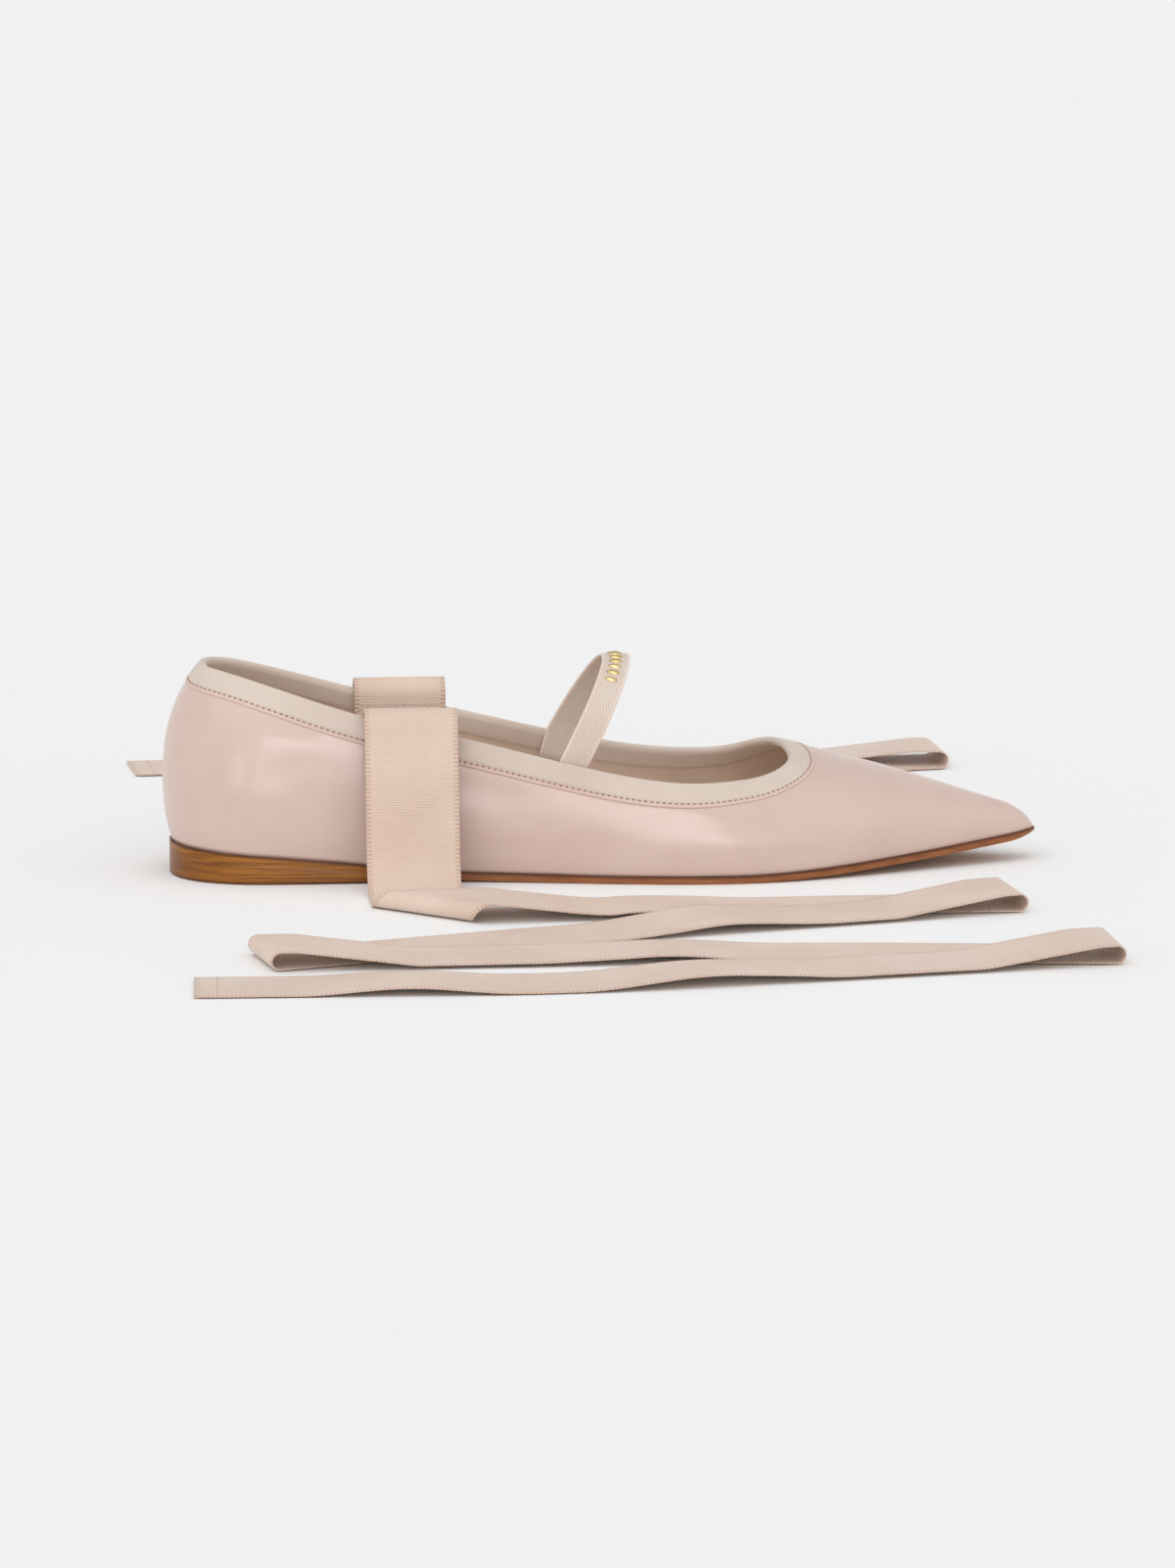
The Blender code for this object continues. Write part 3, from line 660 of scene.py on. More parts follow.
def tree_of(mesh):
    """A search tree of a mesh's faces, which finds the nearest of them quickly."""
    corners = [vertex.co for vertex in mesh.vertices]
    return BVHTree.FromPolygons(corners, [face.vertices for face in mesh.polygons])


topline = max(border_loops(upper_skin), key=lambda loop: loop[:, 2].mean())
topline, _ = evenly(topline, TOPLINE_STEP * MM)
topline, topline_length = evenly(eased(topline, TOPLINE_ROUNDS), TOPLINE_STEP * MM)
skin_tree = tree_of(upper_skin)
print("topline:", len(topline), "steps,", round(topline_length / MM, 1), "mm round")

# %% [markdown]
# ## Lines beside the topline
# The binding's lower edge runs 7.8 mm down the skin from the topline. Measuring that straight through
# space would cut corners at the throat, so each line is stepped off along the skin: from every point of
# the topline, a small step square to it, a drop back onto the skin, and so on.

# %% Step off lines on the skin
SKIN_STEP = 0.8 * MM
# Rounds of smoothing: the first directions, the directions after each step, each line and its normals.
FIRST_ROUNDS, STEP_ROUNDS, LINE_ROUNDS, NORMAL_ROUNDS = 30, 2, 3, 6


def steadied(directions, rounds):
    """Directions along a closed loop, each drawn towards its neighbours."""
    return [Vector(direction).normalized() for direction in eased(np.array(directions), rounds)]


def rim_steps(spans):
    """For each distance down the skin from the topline, its points and the skin's normals there."""
    here = [Vector(point) for point in topline]
    normals = [skin_tree.find_nearest(point)[1] for point in here]
    ahead = [after - before for after, before in zip(here[1:] + here[:1], here[-1:] + here[:-1])]
    downs = [normal.cross(along).normalized() for normal, along in zip(normals, ahead)]
    if sum(down.z for down in downs) > 0:
        downs = [-down for down in downs]
    downs = steadied(downs, FIRST_ROUNDS)
    lines, reached = [], 0.0
    for span in spans:
        steps = max(1, round((span - reached) / SKIN_STEP))
        size = (span - reached) / steps
        for _ in range(steps):
            for i in range(len(here)):
                here[i], normals[i], _, _ = skin_tree.find_nearest(here[i] + downs[i] * size)
                downs[i] = (downs[i] - normals[i] * normals[i].dot(downs[i])).normalized()
            downs = steadied(downs, STEP_ROUNDS)
        reached = span
        lines.append((eased(np.array(here), LINE_ROUNDS), eased(np.array(normals), NORMAL_ROUNDS)))
    return lines


# Distances from the topline down the skin, and how far the binding stands off the skin at each.
EDGE_SPANS = (0.0, 1.0, 2.2, 3.6, 5.0, 5.8, 6.2, 6.5, 6.8, 7.1, 7.5, 7.8, 8.1)
EDGE_RISES = (0.42, 0.50, 0.52, 0.52, 0.50, 0.42, 0.26, 0.16, 0.26, 0.40, 0.40, 0.22, -0.25)
rim_lines = rim_steps([span * MM for span in EDGE_SPANS])
print("lines below the topline:", len(rim_lines))

# %% [markdown]
# ## The leather shell
# The skin gets its wall back with a Solidify modifier, which also gives the inner face its own finish:
# the lining. The outside is smooth nappa, a soft lambskin with an even colour, a very fine grain and a
# gentle shine. Up close it is never one flat colour, so a slow mottling is mixed in, the leather is darker
# in a narrow band along the sole, and the bumps are kept shallower than a hair.

# %% Nappa finish
def nappa_finish():
    """Pale pink leather, mottled and faintly scuffed, and darker along the sole."""
    nappa = Finish(
        "nappa_leather", 0.36, Specular_IOR_Level=0.38, Coat_Weight=0.40, Coat_Roughness=0.17,
        Sheen_Weight=0.05, Sheen_Roughness=0.5,
    )
    slow = nappa.noise(22.0, 3.0)
    fine = nappa.noise(900.0, 4.0)
    pores = nappa.node("ShaderNodeTexVoronoi", {}, Vector=nappa.spot(), Scale=1900.0)
    above_sole = nappa.carried("above_sole")
    nappa.mottle(slow.step(0.30, 0.72), (208, 180, 168), (216, 190, 179))
    nappa.tint(fine.step(0.45, 0.8) * 0.16, (196, 164, 150))
    # Darker in a narrow band along the sole.
    nappa.tint(above_sole.step(2.2, 0.2) * 0.45, (186, 150, 133))
    scuff = nappa.noise(140.0, 5.0).step(0.60, 0.74) * above_sole.step(14.0, 3.0)
    nappa.tint(scuff * 0.14, (200, 172, 158))
    height = pores * 0.5 + fine * 0.5
    rough = 0.32 + slow * 0.10 + fine * 0.06 + scuff * 0.14
    return nappa.wear(rough, height, 0.00002)


nappa_leather = nappa_finish()

# %% Binding finish
STITCH_PITCH = 1.85
STITCHES_DOWN, SEAM_DOWN = 6.5, 7.9    # how far below the topline they run


def binding_finish():
    """Beige down to the stitches, and the nappa's folded lip below them."""
    tape = Finish("topline_binding", 0.5, Specular_IOR_Level=0.38, Sheen_Weight=0.12, Sheen_Roughness=0.5)
    along, down = tape.cloth()
    lip = down.step(6.55 * MM, 6.85 * MM)
    slow = tape.noise(30.0, 3.0)
    fine = tape.noise(1100.0, 4.0)
    beige = tape.mix(slow.step(0.3, 0.7), (208, 191, 177), (217, 202, 189))
    pink = tape.mix(slow.step(0.3, 0.7), (213, 184, 173), (220, 195, 185))
    tape.mottle(lip, beige, pink)
    from_stitches = (down - STITCHES_DOWN * MM).size()
    # Painted shade: the groove along the stitches is coloured darker, as if shade lay in it.
    groove_shade = from_stitches.step(0.42 * MM, 0.1 * MM)
    seam = (down - SEAM_DOWN * MM).size().step(0.30 * MM, 0.04 * MM)
    tape.tint(groove_shade * 0.25, (204, 176, 162))
    tape.tint(seam * 0.55, (184, 146, 132))
    pull = (along.wave(STITCH_PITCH * MM) - 0.5) * from_stitches.step(1.6 * MM, 0.2 * MM)
    return tape.wear(0.46 + fine * 0.12, fine * 0.35 + pull, 0.00008)


# %% Lining finish
def lining_finish():
    """Undyed lining leather: matt, warm and a little felted."""
    lining = Finish("lining_leather", 0.68, Specular_IOR_Level=0.3, Sheen_Weight=0.15, Sheen_Roughness=0.6)
    slow = lining.noise(28.0, 4.0)
    fine = lining.noise(700.0, 5.0)
    lining.mottle(slow.step(0.3, 0.7), (208, 184, 164), (220, 198, 180))
    lining.tint(fine.step(0.5, 0.85) * 0.3, (186, 160, 139))
    return lining.wear(0.62 + fine * 0.14, fine, 0.00010)


lining_leather = lining_finish()

# %% Carry the height above the sole
def carry(mesh, name, values):
    """Stores one number for each point of a mesh, for its finish to read."""
    mesh.attributes.new(name, "FLOAT", "POINT").data.foreach_set("value", np.asarray(values, np.float32))


FACES_UP = 0.6             # an upper face's normal points up by more than this

sole_form = quads_of("outsole")
sole_tops = [face.calc_center_median() for face in sole_form.faces if face.normal.z > FACES_UP]
sole_line = np.array(sorted((top.x, top.z) for top in sole_tops))
sole_form.free()


def above_sole(points):
    """Height of points over the sole's upper face, in millimetres."""
    return (points[:, 2] - np.interp(points[:, 0], sole_line[:, 0], sole_line[:, 1])) / MM


carry(upper_skin, "above_sole", above_sole(points_of(upper_skin)))

# %% Build the shell
WALL = 1.7
shell = add_piece("upper_leather", upper_skin, [nappa_leather, lining_leather], ["upper"])
wall = shell.modifiers.new("wall", "SOLIDIFY")
wall.thickness = WALL * MM
wall.offset = -1.0
wall.material_offset = 1
wall.material_offset_rim = 1
dressed_shell = shell.evaluated_get(bpy.context.evaluated_depsgraph_get())
print("with its wall:", len(dressed_shell.data.polygons), "faces")

# %% [markdown]
# ## The topline binding
# A narrow strip of beige leather is folded over the cut edge, outside and in, and held by one row of
# stitches near its lower edge. Its cross-section is drawn once, as rises above the skin: full over the
# edge, a groove where the stitches pull it down, then a small lip of nappa and the seam. Sweeping that
# section along the lines stepped off below the topline gives a strip that follows every curve.

# %% Sweep the binding
# Over the edge: how far above the topline, how far out from the skin, and the place across the strip.
BINDING_CREST = ((0.30, 0.15, -0.5), (0.50, -0.55, -1.2), (0.42, -1.25, -1.9))
# Inside: how far down from the topline, and how far the strip stands off the lining.
BINDING_INSIDE = ((0.55, 0.30), (1.6, 0.42), (3.4, 0.42), (5.2, 0.42), (6.2, 0.30), (6.8, -0.15))
CREST_WIDTH = 2.4
INSIDE_LINE = 2            # the line below the topline whose normals the inside follows


def rim_at(span):
    """The line on the skin at a distance below the topline, from the lines on either side of it."""
    after = np.searchsorted(EDGE_SPANS, span)
    share = (span - EDGE_SPANS[after - 1]) / (EDGE_SPANS[after] - EDGE_SPANS[after - 1])
    return rim_lines[after - 1][0] * (1 - share) + rim_lines[after][0] * share


def binding_rows():
    """Rows of points from the binding's inside edge, over the topline, to its seam outside."""
    rows = [points + normals * rise * MM for (points, normals), rise in zip(rim_lines, EDGE_RISES)]
    spans = list(EDGE_SPANS)
    top, top_normals = rim_lines[0]
    down = rim_lines[1][0] - top
    down /= np.linalg.norm(down, axis=1)[:, None]
    for above, out, span in BINDING_CREST:
        rows.insert(0, top - down * above * MM + top_normals * out * MM)
        spans.insert(0, span)
    for depth, rise in BINDING_INSIDE:
        rows.insert(0, rim_at(depth) - rim_lines[INSIDE_LINE][1] * (WALL + rise) * MM)
        spans.insert(0, -CREST_WIDTH - depth)
    return rows, spans


def swept(name, rows, spans, length):
    """A band that closes on itself: woven with its first column again at the end, then joined there."""
    points = np.concatenate([np.vstack([row, row[:1]]) for row in rows])
    columns = len(points) // len(rows)
    cloth = [(at, span * MM) for span in spans for at in np.linspace(0, length, columns)]
    form = woven(points, cloth, columns)
    bmesh.ops.remove_doubles(form, verts=form.verts, dist=SAME_PLACE)
    return mesh_from(form, name)


binding_mesh = swept("topline_binding", *binding_rows(), topline_length)
# The highest face lies over the topline, so it has to look up.
if max(binding_mesh.polygons, key=lambda face: face.center.z).normal.z < 0:
    binding_mesh.flip_normals()
add_piece("topline_binding", binding_mesh, [binding_finish()])

# %% [markdown]
# ## Stitches
# The row of stitches is what the eye finds first on a plain shoe, so each one is real: a short thread
# that dives into the leather at both ends. One little ellipsoid stands for each, laid along the line
# 6.5 mm below the topline at the real pitch, 1.85 mm. Eighty faces each is plenty.

# %% Thread, and one stitch
STITCH_LENGTH = 1.15
THREAD = 0.46


def thread_finish(name, light, dark):
    """Twisted thread of one colour."""
    thread = Finish(name, 0.55, Sheen_Weight=0.3)
    twist = thread.noise(2600.0, 2.0)
    thread.mottle(twist, dark, light)
    return thread.wear(0.5 + twist * 0.15, twist, 0.00005)


def lying(spot, axes, sizes):
    """The matrix that puts a ball at a spot, along three directions and with three widths in millimetres."""
    turn = Matrix(axes).transposed().to_4x4()
    return Matrix.Translation(spot) @ turn @ Matrix.Diagonal([*(size / 2 * MM for size in sizes), 1.0])


def sew(form, spot, along, normal, length=STITCH_LENGTH, thread=THREAD):
    """One stitch, lying at a spot on the leather."""
    place = lying(spot, (along, normal.cross(along).normalized(), normal), (length, thread, thread))
    bmesh.ops.create_icosphere(form, subdivisions=2, radius=1.0, matrix=place)


# %% Sew the topline
STITCH_PROUD = 0.05

stitch_row = EDGE_SPANS.index(STITCHES_DOWN)
stitch_line, stitch_normals = rim_lines[stitch_row]
stitch_line = stitch_line + stitch_normals * (EDGE_RISES[stitch_row] + STITCH_PROUD) * MM
spots, stitch_run = evenly(stitch_line, STITCH_PITCH * MM)
rose_thread = thread_finish("rose_thread", (168, 124, 110), (136, 94, 82))
form = bmesh.new()
for i, spot in enumerate(spots):
    along = Vector(spots[(i + 1) % len(spots)] - spots[i - 1]).normalized()
    normal = skin_tree.find_nearest(Vector(spot))[1]
    sew(form, Vector(spot), along, normal)
add_piece("topline_stitches", mesh_from(form, "topline_stitches"), [rose_thread])
print("stitches:", len(spots), "over", round(stitch_run / MM), "mm")

# %% Sew the ribbons' ends
# Two rows of stitches hold each ribbon inside its quarter.
END_ROWS = (2.5, 8.5)
END_STITCHES = np.linspace(-12.0, 12.0, 12)
END_STITCH_LENGTH, END_THREAD, END_PROUD = 1.4, 0.34, 0.28

pale_thread = thread_finish("pale_thread", (226, 208, 194), (190, 164, 146))
form = bmesh.new()
for side, inward in (("outer", Vector((0, 1, 0))), ("inner", Vector((0, -1, 0)))):
    places = np.array([(at, across) for at in END_ROWS for across in END_STITCHES])
    for spot in ribbon_surface(side, places):
        spot = (Vector(spot) + inward * END_PROUD) * MM
        sew(form, spot, Vector((1, 0, 0)), inward, END_STITCH_LENGTH, END_THREAD)
add_piece("ribbon_stitches", mesh_from(form, "ribbon_stitches"), [pale_thread])

# %% [markdown]
# ## The sole
# The outsole is a thin plate of brown leather. Its edge is stained and polished, with a darker line at
# the top where it meets the upper, and its tread is smooth and lightly scuffed. The solid's outline is
# made of short straight runs, so a subdivided copy stands for it, with its sharp edges held by creases.

# %% Smooth copies of hard-edged pieces
def crisp(node, levels=2, hold=0.8, sharp=math.radians(30)):
    """A subdivided copy of a solid whose sharp edges stay nearly sharp."""
    form = quads_of(node)
    held = form.edges.layers.float.new("crease_edge")
    for edge in form.edges:
        if len(edge.link_faces) == 2 and edge.calc_face_angle() > sharp:
            edge[held] = hold
    return smoothed(form, levels, node + "_form")


def fall(values, start, end):
    """1 up to start and 0 from end on, straight between."""
    return np.clip((end - values) / (end - start), 0, 1)


def stack_form(node):
    """A smooth copy of a solid, its points, and their depths below the sole's upper face."""
    mesh = crisp(node)
    points = points_of(mesh)
    depths = -above_sole(points)
    carry(mesh, "under_top", depths)
    return mesh, points, depths


# %% Sole leather
OVER_HEEL = (-46 * MM, -64 * MM)       # between these the sole's edge takes on the heel's look


def stacked_grain(leather):
    """Long streaks along the shoe, as cut layers of leather show."""
    return leather.noise((38.0, 60.0, 1500.0), 6.0, (0, 0.02, 0), 0.62)


def sole_finish():
    """A brown edge, stacked like the heel where it lies on it, and a paler tread."""
    sole = Finish("sole_edge_and_tread", 0.45, Specular_IOR_Level=0.25)
    depth = sole.carried("under_top")
    tread = sole.facing_up().step(-0.55, -0.85)
    streaks = sole.noise((70.0, 220.0, 900.0), 4.0)
    fleck = sole.noise((500.0, 500.0, 2400.0), 3.0)
    edge = sole.mix(streaks.step(0.3, 0.7), (132, 78, 44), (160, 101, 60))
    edge = sole.mix(fleck.step(0.55, 0.75) * 0.35, edge, (96, 52, 28))
    stacked = sole.mix(stacked_grain(sole).step(0.34, 0.66), (126, 74, 22), (170, 108, 34))
    rearward = sole.axes(sole.spot())[0].step(*OVER_HEEL)
    edge = sole.mix(rearward, edge, stacked)
    edge = sole.mix(depth.step(0.50, 0.28) * 0.7, edge, (84, 46, 28))
    edge = sole.mix(depth.step(1.80, 2.05) * (1 - rearward) * 0.6, edge, (86, 48, 30))
    worn = sole.noise(45.0, 6.0)
    scratch = sole.noise((60.0, 900.0, 60.0), 5.0, (0, 0, 0.3))
    under = sole.mix(worn.step(0.35, 0.7), (178, 128, 88), (160, 110, 74))
    under = sole.mix(scratch.step(0.56, 0.72) * 0.4, under, (134, 90, 60))
    sole.mottle(tread, edge, under)
    rough = tread * (0.22 + worn * 0.2) + 0.30 + fleck * 0.12
    return sole.wear(rough, streaks * 0.6 + fleck * 0.4, 0.00008)


# %% Cut the sole
# The solids stand a gap apart. Glued leather shows none, so the sole's upper face is lifted by it, and the
# lower edge of the tip is rounded up, as it is where a maker trims it.
PIECE_GAP = 0.27
UPPER_FACE = (0.1, 0.5)            # depths: whole above the first, none of it below the second
TIP_FROM, TIP_LIFT, TIP_ROUND = 125.0, 0.3, 1.3
SOLE_DEPTH = 2.1

toe_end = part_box("outsole")[1].x / MM
sole_mesh, sole_points, depths = stack_form("outsole")
tipward = 1 - fall(sole_points[:, 0] / MM, TIP_FROM, toe_end)
sole_points[:, 2] += fall(depths, *UPPER_FACE) * PIECE_GAP * MM
sole_points[:, 2] += (TIP_LIFT + TIP_ROUND * np.clip(depths / SOLE_DEPTH, 0, 1)) * tipward ** 2 * MM
set_points(sole_mesh, sole_points)
add_piece("outsole_leather", sole_mesh, [sole_finish()], ["outsole"])

# %% [markdown]
# ## The low heel
# Thin layers of leather are glued into a wedge, ground to shape and polished until the cut fibres look
# like wood. The grain runs along the shoe in long dark and light streaks, so the noise behind it is far
# finer in height than in length. A dark line shows where the wedge meets the sole, and the heel is also
# darker in a thin line along the floor.

# %% Heel leather
LAYER_HEIGHT, LAYER_WAVER = 2.1 * MM, 1.0 * MM
HEEL_BACK = (-106 * MM, -134 * MM)     # the back of the heel is stained darker
FLOOR_LINE = (0.9 * MM, 0.3 * MM)      # height of the dark line along the floor


def heel_finish():
    """Stacked leather: grain, layers, and dark lines at the sole and at the floor."""
    heel = Finish("stacked_heel", 0.42, Specular_IOR_Level=0.25)
    along, _, height = heel.axes(heel.spot())
    depth = heel.carried("under_top")
    grain = stacked_grain(heel)
    fine = heel.noise((160.0, 300.0, 5200.0), 4.0, (0, 0.02, 0), 0.6)
    layers = (height + heel.noise(22.0, 2.0) * LAYER_WAVER).wave(LAYER_HEIGHT)
    heel.mottle(grain.step(0.34, 0.66), (124, 72, 20), (170, 108, 32))
    heel.tint(fine.step(0.52, 0.74) * 0.5, (96, 52, 22))
    heel.tint((1 - layers.step(0.0, 0.16)) * 0.35, (104, 58, 24))
    heel.tint(along.step(*HEEL_BACK) * 0.55, (112, 66, 34))
    heel.tint(depth.step(2.55, 2.40) * 0.30, (92, 52, 26))
    heel.tint(height.step(*FLOOR_LINE) * 0.8, (62, 34, 22))
    under = heel.facing_up().step(-0.6, -0.9)
    heel.tint(under, (92, 62, 44))
    return heel.wear(0.28 + grain * 0.14 + under * 0.25, grain * 0.5 + fine * 0.5, 0.00010)


# %% Stack the heel
# The heel's top is tucked up past the sole's lower bevel, so that the two read as one stack.
HEEL_TUCK = 0.62
HEEL_TOP = (2.5, 2.95)

heel_mesh, heel_points, depths = stack_form("heel")
heel_points[:, 2] += fall(depths, *HEEL_TOP) * HEEL_TUCK * MM
set_points(heel_mesh, heel_points)
add_piece("heel_stack", heel_mesh, [heel_finish()], ["heel"])

# %% [markdown]
# ## The sock
# Inside, a leather sock covers the insole from heel to toe. It is glued over a thin foam under the heel,
# so it swells a little there, and a foot has polished and darkened the places it presses. The place where
# a maker would stamp a name is left bare.

# %% Sock leather
def sock_finish():
    """Smooth leather, darker and shinier where a foot has pressed it."""
    sock = Finish("sock_leather", 0.5, Specular_IOR_Level=0.38, Sheen_Weight=0.1)
    heel_press = sock.carried("heel_press")
    toe_press = sock.carried("toe_press")
    slow = sock.noise(30.0, 4.0)
    pores = sock.node("ShaderNodeTexVoronoi", {}, Vector=sock.spot(), Scale=1100.0)
    sock.mottle(slow.step(0.3, 0.7), (214, 190, 170), (224, 203, 186))
    sock.tint(heel_press * 0.30, (184, 156, 134))
    sock.tint(toe_press * 0.30, (184, 156, 134))
    return sock.wear(0.56 - heel_press * 0.14 - toe_press * 0.12, pores, 0.00007)


# %% Glue the sock in
# Its edge is pushed out until it meets the lining, which is found by looking outwards from each point.
SOCK_SPREAD, SOCK_REACH = 0.7, 3.0
SIDEWAYS = 0.3
# Places in plan, in millimetres: x and y of the middle, half length and half width.
HEEL_FOAM, BALL_DIP = (-92, 0, 20, 14), (22, 0, 22, 18)
HEEL_PRESS, TOE_PRESS = (-98, 0, 15, 11), (22, 3, 18, 20)
FOAM_RISE, BALL_SINK = 0.5, 0.25


def bell(points, x, y, long, wide):
    """1 at a place in plan, fading to 0 round it."""
    along = (points[:, 0] / MM - x) / long
    across = (points[:, 1] / MM - y) / wide
    return np.exp(-0.5 * (along ** 2 + across ** 2))


sock_mesh = crisp("insole", hold=0.5)
sock_points = points_of(sock_mesh)
swell = FOAM_RISE * bell(sock_points, *HEEL_FOAM) - BALL_SINK * bell(sock_points, *BALL_DIP)
sock_points[:, 2] += swell * np.clip(normals_of(sock_mesh)[:, 2], 0, 1) * MM
for i, vertex in enumerate(sock_mesh.vertices):
    outward = Vector((*vertex.normal.xy, 0.0))
    spread = SOCK_SPREAD * MM
    if outward.length > SIDEWAYS:
        met, place, _, _ = dressed_shell.ray_cast(vertex.co, outward.normalized(), distance=SOCK_REACH * MM)
        if met:
            spread = max(spread, (place - vertex.co).length)
    sock_points[i] += np.array(outward * spread)
set_points(sock_mesh, sock_points)
carry(sock_mesh, "heel_press", bell(sock_points, *HEEL_PRESS))
carry(sock_mesh, "toe_press", bell(sock_points, *TOE_PRESS))
add_piece("insole_sock", sock_mesh, [sock_finish()], ["insole"])

# %% Stitch the sock's edge at the heel
# The row follows part of an ellipse round the heel's seat, dropped onto the sock from above.
SEAT, SEAT_LONG, SEAT_WIDE = -96, 27.5, 20.4
ABOVE_SEAT = 40

sock_tree = tree_of(sock_mesh)
form = bmesh.new()
for turn in np.radians(np.linspace(80, 280, 61)):
    spot = Vector((SEAT + SEAT_LONG * math.cos(turn), SEAT_WIDE * math.sin(turn), ABOVE_SEAT)) * MM
    along = Vector((-SEAT_LONG * math.sin(turn), SEAT_WIDE * math.cos(turn), 0)).normalized()
    hit, normal, _, _ = sock_tree.ray_cast(spot, Vector((0, 0, -1)))
    if hit:
        sew(form, hit, along, normal)
beige_thread = thread_finish("beige_thread", (222, 204, 188), (190, 166, 146))
add_piece("sock_stitches", mesh_from(form, "sock_stitches"), [beige_thread])

# %% [markdown]
# ## The vamp strap
# A narrow elastic runs over the instep and is sewn inside both quarters. It isn't tied, so it keeps the
# arch that a foot gives it. Half an ellipse makes the arch, leaning forward as it rises, and the section
# is a soft flat oval with a rib along each edge.

# %% The strap's line, in millimetres
STRAP_FEET = ((-27.25, 35.52), (23.62, 37.02))
STRAP_STATION = -10.75
STRAP_LEAN = 15.2
STRAP_TUCK, STRAP_TUCK_BACK = 9.0, 2.5
STRAP_CREST = (0.185, 64.6)
STRAP_WIDTH, STRAP_THICKNESS = 8.5, 1.1
STRAP_CELLS, SECTION_CELLS = 84, 28
EDGE_RIB, EDGE_RIB_WIDTH, EDGE_RIB_RISE = 3.75, 0.35, 0.10
ACROSS_POWER, OUT_POWER = 0.35, 0.8    # the oval's: 1 would be an ellipse, and 0 a box


def strap_line(cells):
    """The strap's middle line, from its sewn end in the outer quarter to the one in the inner."""
    points = []
    for i in range(cells + 1):
        turn = math.pi * i / cells
        foot_y, foot_z = STRAP_FEET[0] if turn < math.pi / 2 else STRAP_FEET[1]
        y = STRAP_CREST[0] + (foot_y - STRAP_CREST[0]) * abs(math.cos(turn))
        rise = math.sin(turn)
        points.append((STRAP_STATION + STRAP_LEAN * rise, y, foot_z + (STRAP_CREST[1] - foot_z) * rise))
    tucks = [
        [(STRAP_STATION - STRAP_TUCK_BACK * share, y, z - STRAP_TUCK * share) for share in (1.0, 0.66, 0.33)]
        for y, z in STRAP_FEET
    ]
    return np.array(tucks[0] + points + tucks[1][::-1])


def strap_section():
    """The strap's flat oval section, as (across, out) pairs, with a rib along each edge."""
    section = []
    for i in range(SECTION_CELLS):
        turn = 2 * math.pi * i / SECTION_CELLS
        across = math.copysign(abs(math.cos(turn)) ** ACROSS_POWER, math.cos(turn)) * STRAP_WIDTH / 2
        out = math.copysign(abs(math.sin(turn)) ** OUT_POWER, math.sin(turn)) * STRAP_THICKNESS / 2
        rib = math.exp(-((abs(across) - EDGE_RIB) / EDGE_RIB_WIDTH) ** 2) * EDGE_RIB_RISE
        section.append((across, out + math.copysign(rib, out)))
    return section + section[:1]


# %% Weave the strap
def strap_mesh():
    """The section carried along the line, joined where it closes, with both ends filled."""
    line = strap_line(STRAP_CELLS)
    section = strap_section()
    points, cloth = [], []
    for point, ahead, at in zip(line, np.gradient(line, axis=0), lengths_along(line)):
        along = ahead / np.linalg.norm(ahead)
        across = np.array([1.0, 0.0, 0.0]) - along * along[0]
        across /= np.linalg.norm(across)
        out = np.cross(across, along)
        points.extend(point + across * wide + out * high for wide, high in section)
        cloth.extend((at, wide) for wide, high in section)
    form = woven(np.array(points) * MM, np.array(cloth) * MM, len(section))
    bmesh.ops.remove_doubles(form, verts=form.verts, dist=SAME_PLACE)
    bmesh.ops.holes_fill(form, edges=form.edges, sides=0)
    bmesh.ops.recalc_face_normals(form, faces=form.faces)
    return mesh_from(form, "vamp_strap_elastic")


# %% Elastic finish
TWILL_PITCH, TWILL_LEAN, WEFT_PITCH = 0.99 * MM, 0.44, 0.52 * MM


def elastic_finish():
    """Narrow woven elastic: fine raised ribs that lean across it, and a plain rib at each edge."""
    elastic = Finish("woven_elastic", 0.62, Sheen_Weight=0.25, Sheen_Roughness=0.5, Specular_IOR_Level=0.35)
    along, across = elastic.cloth()
    twill = (along * TWILL_LEAN + across).wave(TWILL_PITCH)
    weft = along.wave(WEFT_PITCH)
    edge = across.size().step(3.4 * MM, 3.7 * MM)
    slow = elastic.noise(60.0, 3.0)
    elastic.mottle(slow.step(0.3, 0.7), (222, 206, 192), (230, 216, 204))
    elastic.tint((1 - twill) * 0.46 * (1 - edge), (190, 168, 150))
    elastic.tint(edge * 0.6, (238, 216, 202))
    height = twill * (1 - edge) * 0.8 + weft * 0.25 + edge * 0.8
    return elastic.wear(0.58 + weft * 0.1, height, 0.00014)


add_piece("vamp_strap_elastic", strap_mesh(), [elastic_finish()], ["vamp_strap"])

# %% [markdown]
# ## Studs on the strap
# Small plain oval domes in a pale gold metal stand in one row over the strap's crest. Each is a squashed
# sphere with its lower half under the weave, which is how a pressed stud looks once it is set.

# %% Set the studs
STUD_COUNT = 8
STUD_PITCH = 3.2
STUD_LENGTH, STUD_WIDTH, STUD_RISE = 2.1, 4.2, 0.7
STUD_SHIFT = -6.0      # towards the outer side
STUD_SINK = 0.05
FINE_CELLS = 240

gold = Finish("pale_gold", 0.26, Metallic=1.0)
tarnish = gold.noise(240.0, 4.0)
gold.mottle(tarnish.step(0.35, 0.7), (206, 178, 122), (226, 204, 156))
gold.wear(0.2 + tarnish * 0.16)

crest_line = strap_line(FINE_CELLS)
crest_lengths = lengths_along(crest_line)
crest_at = crest_lengths[np.argmax(crest_line[:, 2])]


def on_strap(at):
    """The place on the strap's middle line at a length along it."""
    return Vector([float(np.interp(at, crest_lengths, crest_line[:, axis])) for axis in range(3)])


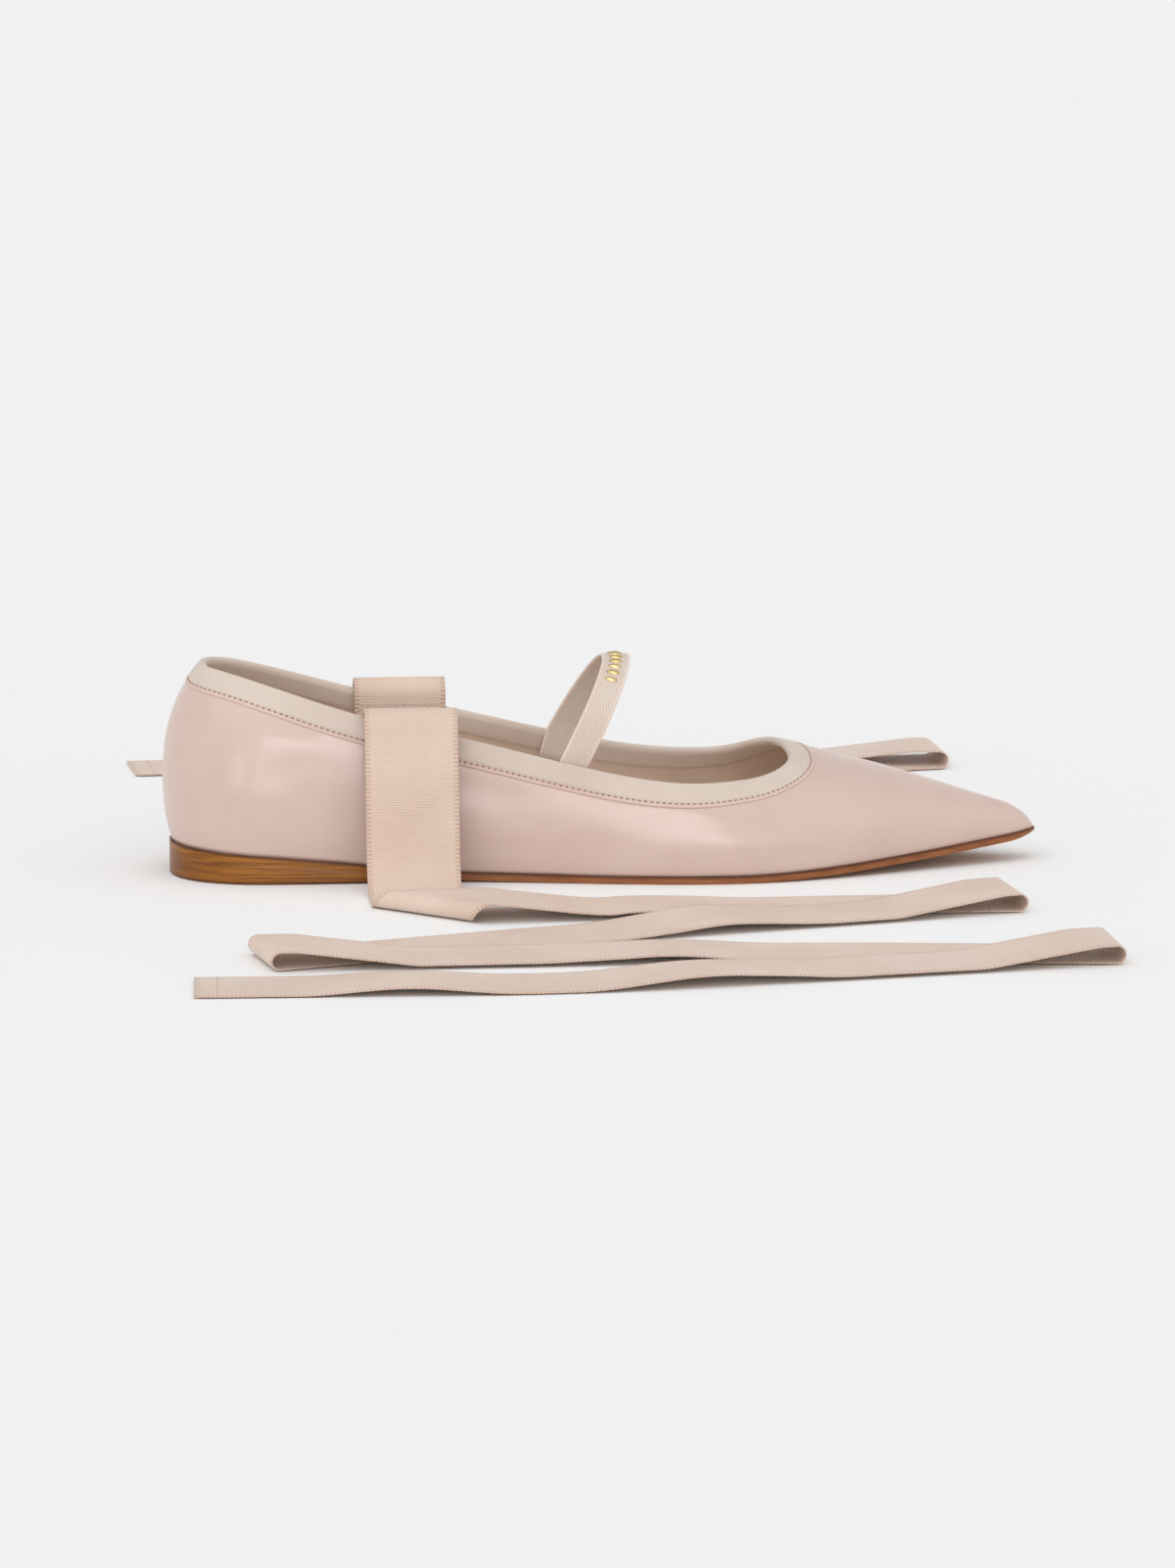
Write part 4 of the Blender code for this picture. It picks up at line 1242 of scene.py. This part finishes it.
form = bmesh.new()
for i in range(STUD_COUNT):
    at = crest_at + STUD_SHIFT + (i - (STUD_COUNT - 1) / 2) * STUD_PITCH
    along = (on_strap(at + 0.5) - on_strap(at)).normalized()
    across = (Vector((1, 0, 0)) - along * along.x).normalized()
    out = across.cross(along)
    spot = (on_strap(at) + out * (STRAP_THICKNESS / 2 - STUD_SINK)) * MM
    place = lying(spot, (along, across, out), (STUD_LENGTH, STUD_WIDTH, 2 * STUD_RISE))
    bmesh.ops.create_uvsphere(form, u_segments=20, v_segments=12, radius=1.0, matrix=place)
add_piece("strap_studs", mesh_from(form, "strap_studs"), [gold.material])

# %% [markdown]
# ## Floor and light
# The shoe stands on a plain pale floor in a white studio. Three even lights, two from above and one from
# in front, keep the floor one tone and open the side that is seen. A white world keeps shadows pale, and
# is brighter near the horizon, as a studio's walls are. Three soft boxes are there for the leather alone,
# so they show only as reflections. Such a light is usually moved about until its reflection falls where it
# should. Here its place is worked out: the line of sight is mirrored in the skin's normal at the spot, and
# the light goes out along it.

# %% Floor
floor_finish = Finish("studio_floor", 0.9, Specular_IOR_Level=0.0)
floor_finish.mottle(floor_finish.noise(2.0, 2.0), (246, 246, 246), (248, 248, 248))
floor_finish.wear()
form = bmesh.new()
bmesh.ops.create_grid(form, x_segments=1, y_segments=1, size=6.0)
floor = put_in_scene("floor", mesh_from(form, "floor"))
floor.data.materials.append(floor_finish.material)

# %% The white room
# Its brightness falls from the horizon, a little above the floor, to the ceiling.
ROOM_LIGHT = {"From Min": 0.05, "From Max": 0.55, "To Min": 0.92, "To Max": 0.56}

world = bpy.data.worlds.new("studio")
world.use_nodes = True
nodes_of_room = world.node_tree.nodes
upward = nodes_of_room.new("ShaderNodeTexCoord")
height = nodes_of_room.new("ShaderNodeSeparateXYZ")
brightness = nodes_of_room.new("ShaderNodeMapRange")
brightness.interpolation_type = "SMOOTHSTEP"
for socket, value in ROOM_LIGHT.items():
    brightness.inputs[socket].default_value = value
background = nodes_of_room["Background"].inputs
background["Color"].default_value = (1.0, 1.0, 1.0, 1.0)
link = world.node_tree.links.new
link(upward.outputs["Generated"], height.inputs["Vector"])
link(height.outputs["Z"], brightness.inputs["Value"])
link(brightness.outputs["Result"], background["Strength"])
bpy.context.scene.world = world
print("room light from", ROOM_LIGHT["To Min"], "down to", ROOM_LIGHT["To Max"])

# %% Lights
BOX_DISTANCE = 1.6


def gleam_light(name, spot, wide, high, power):
    """A soft box placed so that the camera sees it mirrored at a spot on the leather."""
    _, place, normal, _ = dressed_shell.closest_point_on_mesh(Vector(spot) * MM)
    seen_from = (camera.location - place).normalized()
    toward = 2 * normal * normal.dot(seen_from) - seen_from
    lamp = bpy.data.lights.new(name, "AREA")
    lamp.shape = "RECTANGLE"
    lamp.size, lamp.size_y = wide, high
    lamp.energy = power
    box = put_in_scene(name, lamp)
    box.location = place + toward * BOX_DISTANCE
    box.visible_diffuse = False
    face_along(box, -toward)
    print(name, "stands at", [round(c, 2) for c in box.location], "for", [round(c / MM, 1) for c in place])


def sunlight(name, toward, strength, spread):
    """An even light from one direction, with soft shadows."""
    lamp = bpy.data.lights.new(name, "SUN")
    lamp.energy = strength
    lamp.angle = math.radians(spread)
    face_along(put_in_scene(name, lamp), toward)


sunlight("studio_key", (0.45, 0.55, -1.0), 0.78, 60.0)
sunlight("studio_fill", (-0.5, 0.3, -1.0), 0.40, 80.0)
sunlight("studio_front", (0.05, 1.0, -0.30), 0.40, 60.0)
gleam_light("vamp_gleam", (14.0, -36.0, 23.0), 0.78, 0.40, 5.6)
gleam_light("quarter_gleam", (-98.0, -27.5, 41.0), 0.44, 0.16, 1.5)
gleam_light("heel_gleam", (-112.0, -26.5, 36.5), 0.22, 0.13, 0.55)
